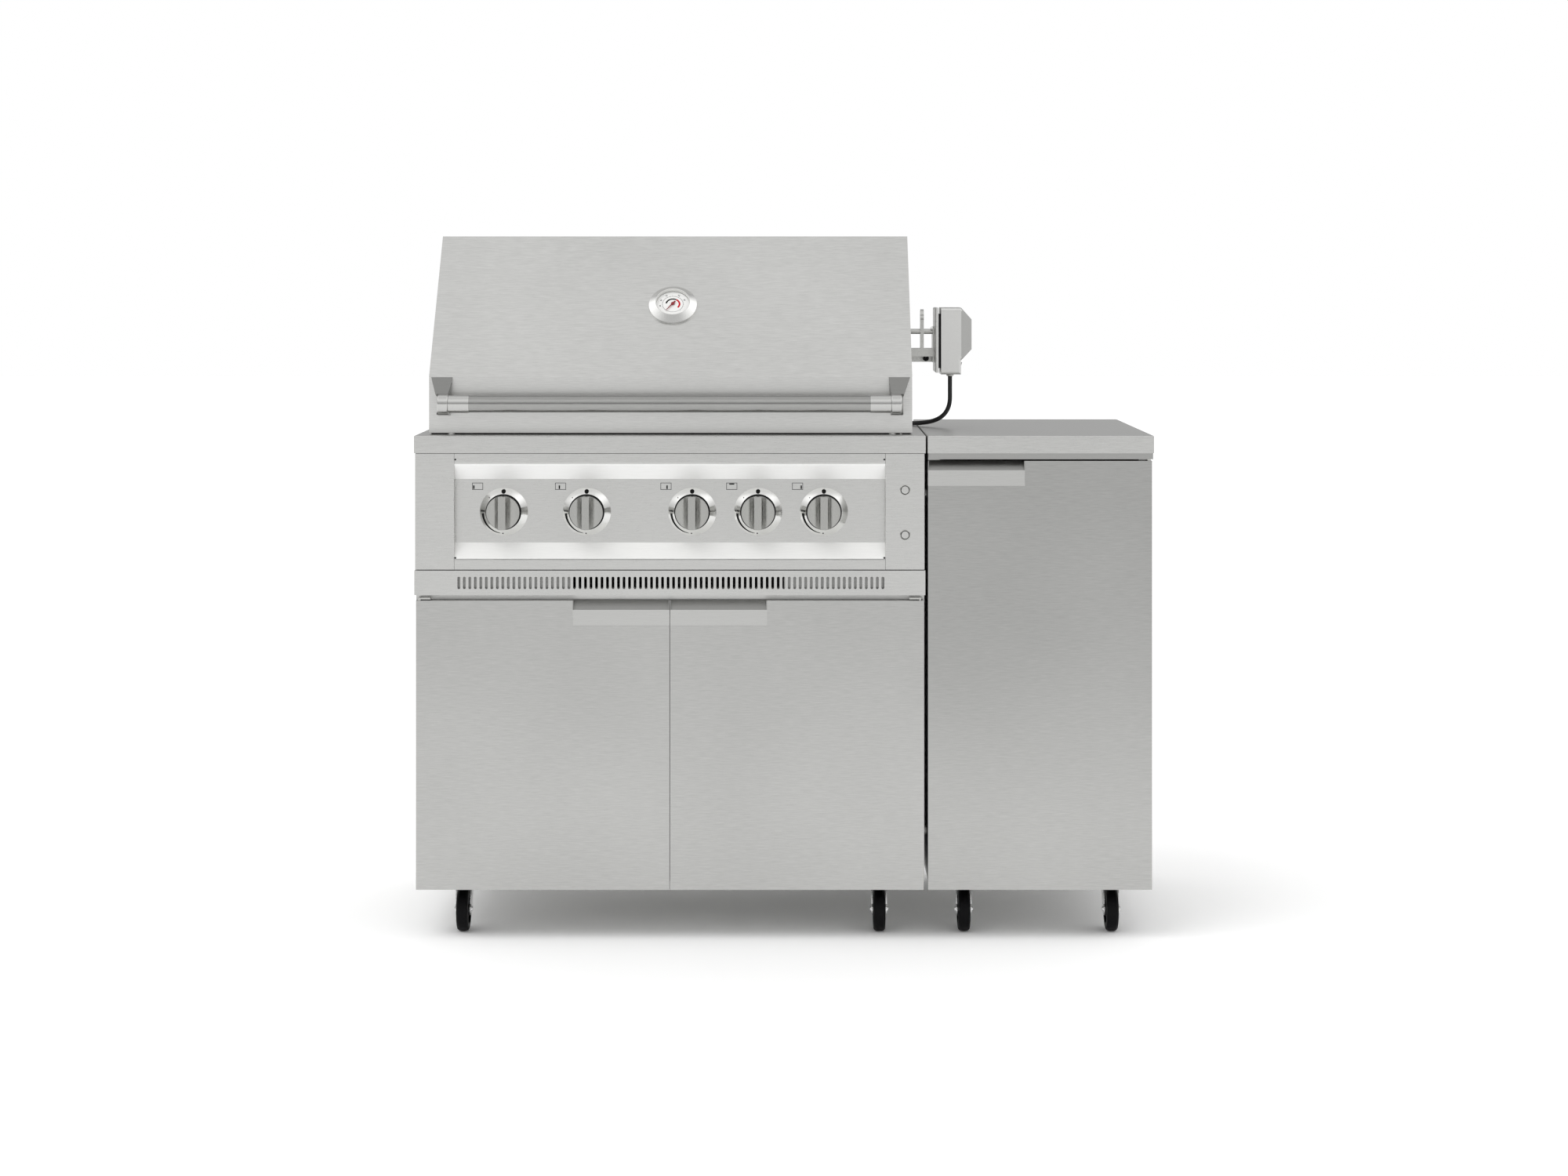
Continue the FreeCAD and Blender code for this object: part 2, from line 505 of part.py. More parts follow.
def front_panels():
    holes = [rod("Y", "button_x", "fascia_front - 1", "knob_level + %s * button_rise" % sign,
                 "button_radius + barrel_wall + barrel_clearance", "5") for sign in (-1, 1)]
    node("control_stiles", stile("cart_left + body_inset"), cut(stile("panel_right"), *holes))

    face, deep = "fascia_front", "panel_face"
    back_face, back_deep = "fascia_front + sheet_gauge", "panel_face + sheet_gauge"
    outline = [
        (face, "fascia_foot"), (face, "fold_low"), (deep, "fold_low + bevel_rise"),
        (deep, "fold_high - bevel_rise"), (face, "fold_high"), (face, "fascia_head"),
        (back_face, "fascia_head"), (back_face, "fold_high + bevel_mitre"),
        (back_deep, "fold_high - bevel_rise + bevel_mitre"),
        (back_deep, "fold_low + bevel_rise - bevel_mitre"),
        (back_face, "fold_low - bevel_mitre"), (back_face, "fascia_foot")]
    sheet = prism("YZ", outline, "panel_left", "panel_width")

    def outer_fold(edge):
        middle = edge.CenterOfMass
        along = edge.Length > size("panel_width") / 2 and abs(middle.y - size(face)) < 0.1
        return along and min(abs(middle.z - size(level)) for level in ("fold_low", "fold_high")) < 0.1
    folded = rounded(sheet, "fold_radius", outer_fold)
    stem_holes = [rod("Y", "cart_left + " + place_x, "panel_face - 1", "knob_level", "stem_hole", "5")
                  for place_x in KNOB_PLACES]
    node("control_panel", cut(folded, *stem_holes))

    vent = doc.addObject("PartDesign::Body", "Vent")
    width = "cart_width - body_inset"
    plate = vent.newObject("PartDesign::AdditiveBox", "Sheet")
    tie(plate, "Length", width)
    tie(plate, "Width", "shell_front - front - vent_setback")
    tie(plate, "Height", "vent_height")
    hollow = vent.newObject("PartDesign::SubtractiveBox", "Hollow")
    tie(hollow, "Length", width + " - 2 * sheet_gauge")
    tie(hollow, "Width", "shell_front - front")
    tie(hollow, "Height", "vent_height - 2 * sheet_gauge")
    place(hollow, "sheet_gauge", "sheet_gauge", "sheet_gauge")
    doc.recompute()
    slot = vent.newObject("PartDesign::SubtractiveBox", "Slot")
    tie(slot, "Length", "slot_width")
    tie(slot, "Width", "4 * sheet_gauge")
    tie(slot, "Height", "slot_length - slot_width")
    place(slot, "slot_margin", "-sheet_gauge", "(vent_height - slot_length + slot_width) / 2")
    repeat_slot(vent, slot)
    for sign in (-1, 1):
        end = vent.newObject("PartDesign::SubtractiveCylinder", "Slot_end")
        tie(end, "Radius", "slot_width / 2")
        tie(end, "Height", "4 * sheet_gauge")
        end.Placement = FreeCAD.Placement(Vector(), TURN["Y"])
        place(end, "slot_margin + slot_width / 2", "-sheet_gauge",
              "vent_height / 2 + %d * (slot_length - slot_width) / 2" % sign)
        repeat_slot(vent, end)
    place(vent, "cart_left + body_inset / 2", "front + vent_setback", "vent_foot")
    node("vent_panel", vent)


def repeat_slot(body, tool):
    """Repeat one cut along the vent panel at the slots' pitch."""
    doc.recompute()
    row = body.newObject("PartDesign::LinearPattern", "Row")
    row.Originals = [tool]
    row.Direction = ([item for item in body.Origin.OriginFeatures if item.Role == "X_Axis"][0], [""])
    steps = "floor((cart_width - 2 * slot_margin) / slot_pitch)"
    tie(row, "Occurrences", steps + " + 1")
    tie(row, "Length", steps + " * slot_pitch")
    body.Tip = row
    doc.recompute()


KNOB_PLACES = ("knob_first", "knob_second", "knob_third", "knob_fourth", "knob_fifth")


# Controls: five burner knobs in conical bezels and two push buttons in rings.
def knob(label, x):
    """A round knob scooped on both sides, which leaves a grip, on its valve stem."""
    body = rod("Y", x, "knob_front", "knob_level", "knob_radius", "knob_back - knob_front")
    scoops = [rod("Z", x + " + %s * (knob_grip / 2 + knob_scoop)" % sign, "knob_front",
                  "knob_level - 2 * knob_radius", "knob_scoop", "4 * knob_radius") for sign in (-1, 1)]

    def grip_edge(edge):
        return edge.BoundBox.YMax < size("knob_front") + 0.1 and edge.Length > size("knob_radius")
    shaped = rounded(cut(body, *scoops), "knob_edge", grip_edge)
    stem = rod("Y", x, "knob_back - 1", "knob_level", "stem_radius",
               "panel_face + stem_reach - knob_back + 1")
    node(label, fuse(shaped, stem))


def controls():
    bezels = []
    for index, place_x in enumerate(KNOB_PLACES):
        x = "cart_left + " + place_x
        knob("knob_%d" % (index + 1), x)
        ring = cone("Y", x, "bezel_front", "knob_level", "knob_radius + knob_clearance + bezel_wall",
                    "bezel_radius", "bezel_height")
        seat = rod("Y", x, "bezel_front - 1", "knob_level", "knob_radius + knob_clearance",
                   "bezel_seat + 1")
        bore = rod("Y", x, "bezel_front", "knob_level", "stem_hole", "bezel_height + 1")
        bezels.append(cut(ring, seat, bore))
    node("knob_bezels", *bezels)
    rings = []
    for label, sign in (("button_upper", 1), ("button_lower", -1)):
        z = "knob_level + %d * button_rise" % sign
        cap = rod("Y", "button_x", "button_front", z, "button_radius", "button_length")
        node(label, rounded(cap, "button_edge", lambda edge: edge.BoundBox.YMax < size("fascia_front")))
        collar = cone("Y", "button_x", "button_front + collar_sink", z, "button_radius + collar_wall",
                      "button_ring", "button_proud - collar_sink")
        barrel = rod("Y", "button_x", "fascia_front", z, "button_radius + barrel_wall",
                     "button_length + barrel_tail")
        bore = rod("Y", "button_x", "button_front", z, "button_radius + run_gap",
                   "button_length + button_travel + run_gap")
        rings.append(cut(fuse(collar, barrel), bore))
    node("button_rings", *rings)


# Gas train: the manifold pipe with its valves, the tube burners and the rear burner.
def gas_train():
    parts = [rod("X", "cart_left + knob_first - manifold_tail", "manifold_y", "knob_level",
                 "manifold_radius", "knob_fifth - knob_first + 2 * manifold_tail")]
    stems = []
    for place_x in KNOB_PLACES:
        x = "cart_left + " + place_x
        parts.append(box(x + " - valve_width / 2", "panel_face + valve_back",
                         "knob_level - valve_height / 2", "valve_width", "manifold_back - valve_back",
                         "valve_height"))
        stems.append(rod("Y", x, "panel_face", "knob_level", "stem_radius + stem_clearance",
                         "stem_reach + stem_space"))
    for sign in (-1, 1):
        parts.append(box("cart_mid + %d * firebox_width / 4 - feed_width / 2" % sign, "manifold_y",
                         "knob_level - feed_height / 2", "feed_width", "firebox_y - manifold_y",
                         "feed_height"))
    node("gas_manifold", cut(fuse(*parts), *stems))
    tubes = []
    for x in burner_places():
        tube = rod("Y", x, "burner_y", "burner_z", "burner_radius", "burner_length")
        bore = rod("Y", x, "burner_y - 1", "burner_z", "burner_radius - burner_wall", "burner_mouth + 1")
        tubes.append(cut(tube, bore))
        tubes.append(flame_tamer(x))
    node("main_burners", *tubes)
    burner = box("cart_mid - rear_burner_width / 2", "rear_burner_y", "rear_burner_z", "rear_burner_width",
                 "rear_burner_depth", "rear_burner_height")
    face = box("cart_mid - rear_burner_width / 2 + rear_burner_rim", "rear_burner_y - 1",
               "rear_burner_z + rear_burner_rim", "rear_burner_width - 2 * rear_burner_rim",
               "rear_burner_sink + 1", "rear_burner_height - 2 * rear_burner_rim")
    node("rear_burner", cut(burner, face))


def burner_places():
    """X of each main burner, spread evenly over the firebox."""
    count = int(size("burner_count"))
    step = "firebox_width * (%d / burner_count - (burner_count - 1) / (2 * burner_count))"
    return ["cart_mid + " + step % number for number in range(count)]


def flame_tamer(x):
    """The roof of folded sheet over one burner."""
    foot = "tamer_half - 1.5 * tamer_gauge"
    roof = [(x + " - tamer_half", "tamer_z"), (x, "tamer_z + tamer_rise"), (x + " + tamer_half", "tamer_z"),
            (x + " + " + foot, "tamer_z"), (x, "tamer_z + tamer_rise - tamer_gauge"),
            (x + " - (" + foot + ")", "tamer_z")]
    return prism("XZ", roof, "firebox_y + sheet_gauge", "firebox_depth - 2 * sheet_gauge")


# Firebox: an open steel box that hangs by its rim in the cut-out, with ledges for the grates.
def firebox():
    outer = box("firebox_left", "firebox_y", "firebox_foot", "firebox_width", "firebox_depth",
                "firebox_height")
    rim = box("firebox_left - rim_width", "firebox_y - rim_width", "counter_height",
              "firebox_width + 2 * rim_width", "firebox_depth + 2 * rim_width", "counter_gauge")
    inner = box("firebox_left + sheet_gauge", "firebox_y + sheet_gauge", "firebox_foot + sheet_gauge",
                "firebox_width - 2 * sheet_gauge", "firebox_depth - 2 * sheet_gauge", "firebox_height + 10")
    drain = box("cart_mid - drain_width / 2", "firebox_y + drain_setback", "firebox_foot - 1",
                "drain_width", "drain_depth", "sheet_gauge + 2")
    mouths = [rod("Y", x, "firebox_y - 1", "burner_z", "burner_radius + mouth_clearance", "sheet_gauge + 2")
              for x in burner_places()]
    body = cut(fuse(outer, rim), inner, drain, *mouths)
    ledges = [box("firebox_left", y, "grate_foot - ledge_gauge", "firebox_width", "ledge_depth",
                  "ledge_gauge")
              for y in ("firebox_y", "firebox_end - ledge_depth")]
    props = [box("firebox_left", y, "tamer_z - ledge_gauge", "firebox_width", "prop_depth", "ledge_gauge")
             for y in ("firebox_y", "firebox_end - prop_depth")]
    rest = box("firebox_left", "firebox_end - rest_setback", "burner_z - burner_radius - rest_gauge",
               "firebox_width", "rest_depth", "rest_gauge")
    rails = []
    outside = "tray_width / 2 + tray_run + rail_gauge"
    for wall, shelf in (("cart_mid - (%s)" % outside, "cart_mid - (%s)" % outside),
                        ("cart_mid + tray_width / 2 + tray_run", "cart_mid + %s - rail_shelf" % outside)):
        rails.append(box(wall, "firebox_y + rail_setback", "rail_foot", "rail_gauge", "rail_length",
                         "firebox_foot - rail_foot"))
        rails.append(box(shelf, "firebox_y + rail_setback", "rail_foot", "rail_shelf", "rail_length",
                         "rail_gauge"))
    node("firebox", fuse(body, rest, *(ledges + props + rails)))
    node("cooking_grates", *[grate(number) for number in range(int(size("grate_count")))])


def grate(number):
    """One cooking grate: bars from front to back on three cross bars."""
    left = "firebox_left + sheet_gauge + grate_gap + %d * (grate_width + grate_gap)" % number
    bars = [box(left, y, "grate_foot", "grate_width", "cross_bar", "cross_bar")
            for y in ("firebox_y + grate_inset", "firebox_y + (firebox_depth - cross_bar) / 2",
                      "firebox_end - grate_inset - cross_bar")]
    for step in range(int(size("(grate_width - bar_width) / bar_pitch")) + 1):
        bars.append(box(left + " + %d * bar_pitch" % step, "firebox_y + grate_inset",
                        "grate_level - bar_height", "bar_width", "firebox_depth - 2 * grate_inset",
                        "bar_height"))
    return fuse(*bars)


# Rear housing: the fixed back half of the grill head, which carries the hood's pivots.
def rear_housing():
    crown = "housing_y + housing_crown"
    foot = "counter_height"
    side = [("housing_y", foot), ("housing_end", foot), ("housing_end", "housing_top"),
            (crown, "housing_top"), ("housing_y", "housing_top - housing_chamfer")]
    outer = prism("YZ", side, "housing_left", "housing_width")
    inset = [("housing_y - 5", foot + " - 5"), ("housing_end - sheet_gauge", foot + " - 5"),
             ("housing_end - sheet_gauge", "housing_top - sheet_gauge"),
             (crown, "housing_top - sheet_gauge"), (crown, "housing_top + 5"),
             ("housing_y - 5", "housing_top + 5")]
    inner = prism("YZ", inset, "housing_left + sheet_gauge", "housing_width - 2 * sheet_gauge")
    slot = box("housing_left - 5", "housing_y - 5", "spit_z - spit_radius - slot_clearance",
               "housing_width + 10", "spit_y - housing_y + 5", "2 * (spit_radius + slot_clearance)")
    slot_end = rod("X", "housing_left - 5", "spit_y", "spit_z", "spit_radius + slot_clearance",
                   "housing_width + 10")
    holes = rod("X", "housing_left - 5", "hinge_y", "hinge_z", "hood_pin", "housing_width + 10")
    parts = [cut(outer, inner, slot, slot_end, holes)]
    reach = "hood_clearance + 2 * sheet_gauge + pin_slack"
    for start, head in (("hood_left - pin_slack", "hood_left - pin_slack - pin_head_gauge"),
                        ("housing_right - sheet_gauge", "hood_right + pin_slack")):
        pin = rod("X", start, "hinge_y", "hinge_z", "hood_pin", reach)
        button = rod("X", head, "hinge_y", "hinge_z", "pin_head", "pin_head_gauge")
        parts.append(fuse(pin, button))
    node("rear_housing", *parts)


# Hood: a sheet that folds over the front and top, with a cheek at each end that turns on a pivot.
def hood():
    outline = [("hood_front", "hood_foot"), ("hood_back", "hood_foot"), ("hood_back", "hood_top"),
               ("hood_front + slope_run", "hood_top"), ("hood_front", "fold")]
    outer = prism("YZ", outline, "hood_left", "hood_width")
    skew = "sheet_gauge * (1 / sin(slope_angle) - 1 / tan(slope_angle))"
    lift = "sheet_gauge * (1 / cos(slope_angle) - tan(slope_angle))"
    inset = [("hood_front + sheet_gauge", "hood_foot - 5"), ("hood_back + 5", "hood_foot - 5"),
             ("hood_back + 5", "hood_top - hood_lip"), ("hood_back - sheet_gauge", "hood_top - hood_lip"),
             ("hood_back - sheet_gauge", "hood_top - sheet_gauge"),
             ("hood_front + slope_run + " + skew, "hood_top - sheet_gauge"),
             ("hood_front + sheet_gauge", "fold - " + lift)]
    inner = prism("YZ", inset, "hood_left + sheet_gauge", "hood_width - 2 * sheet_gauge")
    behind = prism("YZ", [
        ("cheek_back", "hood_foot - 10"), ("hood_back + 10", "hood_foot - 10"),
        ("hood_back + 10", "hood_top - ear_drop"), ("hood_back - ear_length", "hood_top - ear_drop"),
        ("cheek_back", "hood_foot + cheek_height")], "hood_left - 5", "hood_width + 10")
    bores = rod("X", "hood_left - 5", "hinge_y", "hinge_z", "hood_pin + pivot_clearance",
                "hood_width + 10")
    probe_hole = slope_rod("probe_radius + probe_clearance", "10 * sheet_gauge", "-5 * sheet_gauge")
    node("hood_shell", cut(outer, inner, behind, bores, probe_hole))
    handle()


def handle():
    """The hood's handle: a bar with a sleeve and a cap at each end, and the arms that hold it."""
    bar = rod("X", "cart_mid - handle_length / 2 + cap_length / 2", "handle_y", "handle_z",
              "handle_radius", "handle_length - cap_length")
    ends = []
    for cap_x, sleeve_x in (
            ("cart_mid - handle_length / 2", "cart_mid - handle_length / 2 + cap_length"),
            ("cart_mid + handle_length / 2 - cap_length",
             "cart_mid + handle_length / 2 - cap_length - sleeve_length")):
        cap = rod("X", cap_x, "handle_y", "handle_z", "cap_radius", "cap_length")
        ends.append(rounded(cap, "cap_edge", lambda edge: edge.isClosed()))
        ends.append(rod("X", sleeve_x, "handle_y", "handle_z", "handle_radius + sleeve_wall",
                        "sleeve_length"))
    node("hood_handle", fuse(bar, *ends))
    nose = "handle_y - arm_nose"
    head = "fold - fold_clearance"
    side_outline = [
        ("hood_front", head), (nose, "handle_z + cap_radius - arm_nose"),
        (nose, "handle_z - cap_radius + arm_nose"),
        ("handle_y + arm_toe", "handle_z - cap_radius - arm_lip"),
        ("hood_front", "handle_z - cap_radius - arm_foot")]
    arms = []
    for sign in (-1, 1):
        outer_x = "cart_mid + %d * (handle_length / 2 + arm_lap)" % sign
        inner_x = "cart_mid + %d * (handle_length / 2 + arm_lap - arm_width_top)" % sign
        draft_x = inner_x + " + %d * arm_draft" % sign
        low_x = draft_x + " + %d * arm_width_low" % sign
        foot = "handle_z - 2 * cap_radius"
        front_view = prism("XZ", [(draft_x, foot), (low_x, foot), (low_x, "handle_z + arm_shoulder"),
                                  (outer_x, head), (inner_x, head)],
                           "handle_y - cap_radius", "hood_front - handle_y + cap_radius")
        side_view = prism("YZ", side_outline, "cart_mid - hood_width", "2 * hood_width")
        plan_view = prism("XY", [(inner_x, "hood_front"), (outer_x, "hood_front"), (low_x, nose),
                                 (draft_x, nose)], foot, head + " - (" + foot + ")")
        socket = rod("X", "cart_mid - hood_width", "handle_y", "handle_z", "cap_radius", "2 * hood_width")
        arms.append(cut(common(common(front_view, side_view), plan_view), socket))
    node("handle_arms", *arms)


def lay_on_slope(solid, turn, along):
    """Stand an object square to the hood's slope, turned about that line, along mm out of the sheet."""
    upright = FreeCAD.Rotation(Vector(0, 0, 1), turn)
    solid.Placement = FreeCAD.Placement(Vector(), SLOPE.multiply(upright))
    return place(solid, "cart_mid", "dial_y - (%s) * sin(slope_angle)" % along,
                 "dial_z + (%s) * cos(slope_angle)" % along)


def slope_rod(radius, height, along):
    """A round bar square to the hood's slope."""
    solid = doc.addObject("Part::Cylinder", "Rod")
    tie(solid, "Radius", radius)
    tie(solid, "Height", height)
    return lay_on_slope(solid, 0, along)


def slope_cone(first, last, height, along):
    """A taper square to the hood's slope."""
    solid = doc.addObject("Part::Cone", "Taper")
    tie(solid, "Radius1", first)
    tie(solid, "Radius2", last)
    tie(solid, "Height", height)
    return lay_on_slope(solid, 0, along)


SLOPE = FreeCAD.Rotation(Vector(1, 0, 0), size("slope_angle"))


# Thermometer: a bezel on the slope with its probe, a dial plate and a needle.
def thermometer():
    case = fuse(slope_rod("dial_radius", "dial_flank", "0"),
                slope_cone("dial_radius", "dial_radius - dial_rim", "dial_height - dial_flank",
                           "dial_flank"))
    well = slope_cone("dial_radius - dial_well", "dial_radius - dial_well + dial_flare", "dial_height",
                      "dial_seat")
    probe = slope_rod("probe_radius", "probe_length + 1", "-probe_length")
    post = slope_rod("needle_shaft + pivot_clearance", "dial_height", "0")
    plate = cut(slope_rod("dial_radius - dial_well - run_gap", "dial_gauge", "dial_seat"),
                slope_rod("needle_shaft + needle_play", "dial_height", "0"))
    node("thermometer", cut(fuse(cut(case, well), probe), post), plate)
    shaft = slope_rod("needle_shaft", "needle_level + needle_gauge - needle_sink", "needle_sink")
    cap = slope_cone("needle_hub", "needle_hub - hub_taper", "hub_height", "needle_level - run_gap")
    blade = doc.addObject("Part::Wedge", "Blade")
    for prop, value in (("Xmin", "-needle_width / 2"), ("Xmax", "needle_width / 2"),
                        ("X2min", "-needle_tip / 2"), ("X2max", "needle_tip / 2"),
                        ("Ymin", "-needle_tail"), ("Ymax", "needle_length"), ("Zmin", "0"),
                        ("Zmax", "needle_gauge"),
                        ("Z2min", "0"), ("Z2max", "needle_gauge")):
        tie(blade, prop, value)
    doc.recompute()
    lay_on_slope(blade, size("needle_rest"), "needle_level")
    node("thermometer_needle", fuse(shaft, cap, blade))


# Drip tray: a shallow pan under the firebox that pulls out at the back.
def drip_tray():
    left = "cart_mid - tray_width / 2"
    outer = box(left, "tray_y", "tray_z", "tray_width", "tray_length", "tray_height")
    inner = box(left + " + tray_wall", "tray_y + tray_wall", "tray_z + sheet_gauge",
                "tray_width - 2 * tray_wall", "tray_length - 2 * tray_wall", "tray_height")
    lip = box(left + " - lip_reach", "shell_back + tray_stand", "tray_z - lip_drop",
              "tray_width + 2 * lip_reach", "lip_gauge", "lip_drop + tray_height + lip_rise")
    node("drip_tray", cut(fuse(outer, lip), inner))


# Rotisserie: the spit with its two forks, a bracket with a guide, and the motor with its switch.
def rotisserie():
    parts = [rod("X", "housing_left", "spit_y", "spit_z", "spit_radius",
                 "motor_left + motor_drive - housing_left")]
    for sign in (-1, 1):
        collar_x = "cart_mid + %d * fork_place - collar_length / 2" % sign
        bridge_x = "cart_mid + %d * fork_place - bridge_width / 2" % sign
        tine_x = bridge_x + (" + bridge_width - tine_length" if sign > 0 else "")
        collar = rod("X", collar_x, "spit_y", "spit_z", "collar_radius", "collar_length")
        bridge = box(bridge_x, "spit_y - bridge_width / 2", "spit_z - bridge_reach", "bridge_width",
                     "bridge_width", "2 * bridge_reach")
        tines = [rod("X", tine_x, "spit_y", "spit_z + %d * tine_spread" % way, "tine_radius", "tine_length")
                 for way in (-1, 1)]
        bore = rod("X", collar_x + " - 1", "spit_y", "spit_z", "spit_radius", "collar_length + 2")
        parts.append(cut(fuse(collar, bridge, *tines), bore))
    node("spit_rod", *parts)
    spit_bracket()
    motor()


def spit_bracket():
    """The channel on the housing's wall with the spit's guide, and the flange that carries the motor."""
    wall = "housing_right"
    front_y = "spit_y - bracket_setback"
    foot = "strap_top - bracket_height"
    outer = box(wall, front_y, foot, "bracket_reach + strap_gauge", "bracket_depth", "bracket_height")

    def low_corner(edge):
        box_right = size(wall + " + bracket_reach + strap_gauge")
        return edge.BoundBox.XMin > box_right - 0.1 and edge.BoundBox.ZMax < size(foot) + 0.1
    inner = box(wall + " - 1", front_y + " + strap_gauge", foot + " - 1", "bracket_reach + 1",
                "bracket_depth - 2 * strap_gauge", "bracket_height - strap_gauge + 1")
    mouth = box(wall + " - 1", front_y + " - 1", foot + " - 1", "bracket_reach + strap_gauge + 2",
                "strap_gauge + 1", "bracket_height - channel_face + 1")
    channel = cut(rounded(outer, "channel_round", low_corner), inner, mouth)
    flange = box(wall + " + bracket_reach", front_y, "strap_top - channel_face", "strap_gauge",
                 "bracket_depth", "channel_face + bracket_drop + flange_rise")
    guide_x = wall + " + guide_inset"
    guide = box(guide_x, "spit_y - guide_front", "strap_top", "guide_width",
                "guide_front + guide_depth / 2", "guide_height - guide_depth / 2")
    crown = rod("X", guide_x, "spit_y", "strap_top + guide_height - guide_depth / 2", "guide_depth / 2",
                "guide_width")
    bore = rod("X", wall, "spit_y", "spit_z", "spit_radius + slot_clearance", "bracket_reach + 10")
    node("spit_bracket", cut(fuse(channel, flange, guide, crown), bore))


def motor():
    """The motor: a back plate, a neck and a moulded case, with a rocker switch in its side."""
    plate = box("plate_left", "motor_front - plate_margin", "motor_top - plate_height", "plate_gauge",
                "motor_depth + 2 * plate_margin", "plate_height")
    plate = rounded(plate, "plate_round", lambda edge: edge.BoundBox.XMax < size("plate_left") + 0.1)
    neck = box("plate_left", "motor_front + neck_margin", "motor_foot + neck_inset",
               "plate_gauge + motor_neck", "motor_depth - 2 * neck_margin", "motor_height - 2 * neck_inset")
    section = prism("XZ", [
        ("motor_left", "motor_foot"), ("motor_side", "motor_foot"),
        ("motor_side", "motor_foot + body_foot"),
        ("motor_side + motor_bulge", "motor_foot + bulge_foot"),
        ("motor_side + motor_bulge", "motor_top - bulge_top"), ("motor_side", "motor_top"),
        ("motor_left", "motor_top")], "motor_front", "motor_depth")

    def case_edge(edge):
        across = edge.BoundBox.YLength > 1
        at_left = edge.BoundBox.XMax < size("motor_left") + 0.1
        return not across and not at_left
    tapers = [prism("XY", [("motor_side", edge), ("motor_side + 2 * motor_bulge", edge),
                           ("motor_side + 2 * motor_bulge", edge + " + %d * bulge_taper" % (2 * sign))],
                    "motor_foot - 1", "motor_height + 2")
              for edge, sign in (("motor_front", 1), ("motor_front + motor_depth", -1))]
    case = cut(rounded(section, "motor_round", case_edge), *tapers)
    socket = rod("X", "plate_left - 1", "spit_y", "spit_z", "spit_radius + stem_clearance",
                 "motor_left + motor_drive + drive_space - plate_left + 1")
    seat = box("motor_side - switch_depth", "spit_y - switch_width / 2 - run_gap",
               "switch_z - switch_height / 2 - run_gap", "switch_depth + 1", "switch_width + 2 * run_gap",
               "switch_height + 2 * run_gap")
    axle = rod("Y", "switch_x", "spit_y - switch_width / 2 - switch_grip", "switch_z", "switch_pin",
               "switch_width + 2 * switch_grip")
    node("motor_case", fuse(cut(fuse(plate, neck, case), socket, seat), axle))
    low, high = "switch_z - switch_height / 2", "switch_z + switch_height / 2"
    rocker = prism("XZ", [
        ("motor_side - switch_root", low + " + switch_bevel"), ("motor_side + run_gap", low + " + run_gap"),
        ("motor_side + switch_swell", "switch_z"), ("motor_side + switch_tilt", high + " - switch_bevel"),
        ("motor_side - switch_root", high + " - 2 * switch_bevel")],
        "spit_y - switch_width / 2", "switch_width")
    bore = rod("Y", "switch_x", "spit_y - switch_width", "switch_z", "switch_pin + pivot_clearance",
               "2 * switch_width")
    node("motor_switch", cut(rocker, bore))


# Lead: where it hangs and lies, its points are chosen by hand, from the motor's bush to the coil.
# The first group is measured from the bush, the second from the back corner of the grill head.
HANGING = [(0, 0, 0), (0, 0, -24), (-1, 2, -50), (-16.5, 9, -75), (-42.6, 24.5, -88)]
LYING = [(14, -123.5), (9.5, -75.5), (14, -33.5), (12, 2.5), (-8, 29.5), (-42, 38.5), (-84, 28.5)]

# Half turns in each of the coil's two layers.
HALF_TURNS = 4


def cord_route():
    """The lead's corner points, in order, the last two square to the coil."""
    start = Vector(size("bush_x"), size("spit_y"), size("bush_foot"))
    corner = Vector(size("hood_right"), size("housing_end"), size("cord_level"))
    points = [start + Vector(*step) for step in HANGING]
    points += [corner + Vector(x, y, 0) for x, y in LYING]
    end = coil_start()
    return points + [end + Vector(size("coil_approach"), 0, 0), end]


def coil_start():
    """Where the coil's straight end meets the lying stretch."""
    return Vector(size("coil_x + coil_lead"), size("coil_y - coil_radius"), size("cord_level"))


def rounded_path(points):
    """Straight runs joined by tangent arcs as large as the runs allow."""
    edges = []
    radii = []
    here = points[0]
    for before, corner, after in zip(points, points[1:], points[2:]):
        inward = (corner - before).normalize()
        outward = (after - corner).normalize()
        half_turn = inward.getAngle(outward) / 2
        setback = 0.45 * min((corner - before).Length, (after - corner).Length)
        radii.append(setback / math.tan(half_turn))
        first = corner - inward * setback
        last = corner + outward * setback
        bisector = (outward - inward).normalize()
        middle = corner + bisector * (radii[-1] / math.cos(half_turn) - radii[-1])
        edges += [Part.LineSegment(here, first).toShape(), Part.Arc(first, middle, last).toShape()]
        here = last
    edges.append(Part.LineSegment(here, points[-1]).toShape())
    return edges, radii


def swept(edges, radius):
    """A round tube along joined edges."""
    path = Part.Wire(edges)
    start = edges[0].valueAt(edges[0].FirstParameter)
    way = edges[0].tangentAt(edges[0].FirstParameter)
    ring = Part.Wire([Part.Circle(start, way, radius).toShape()])
    return path.makePipeShell([ring], True, False)


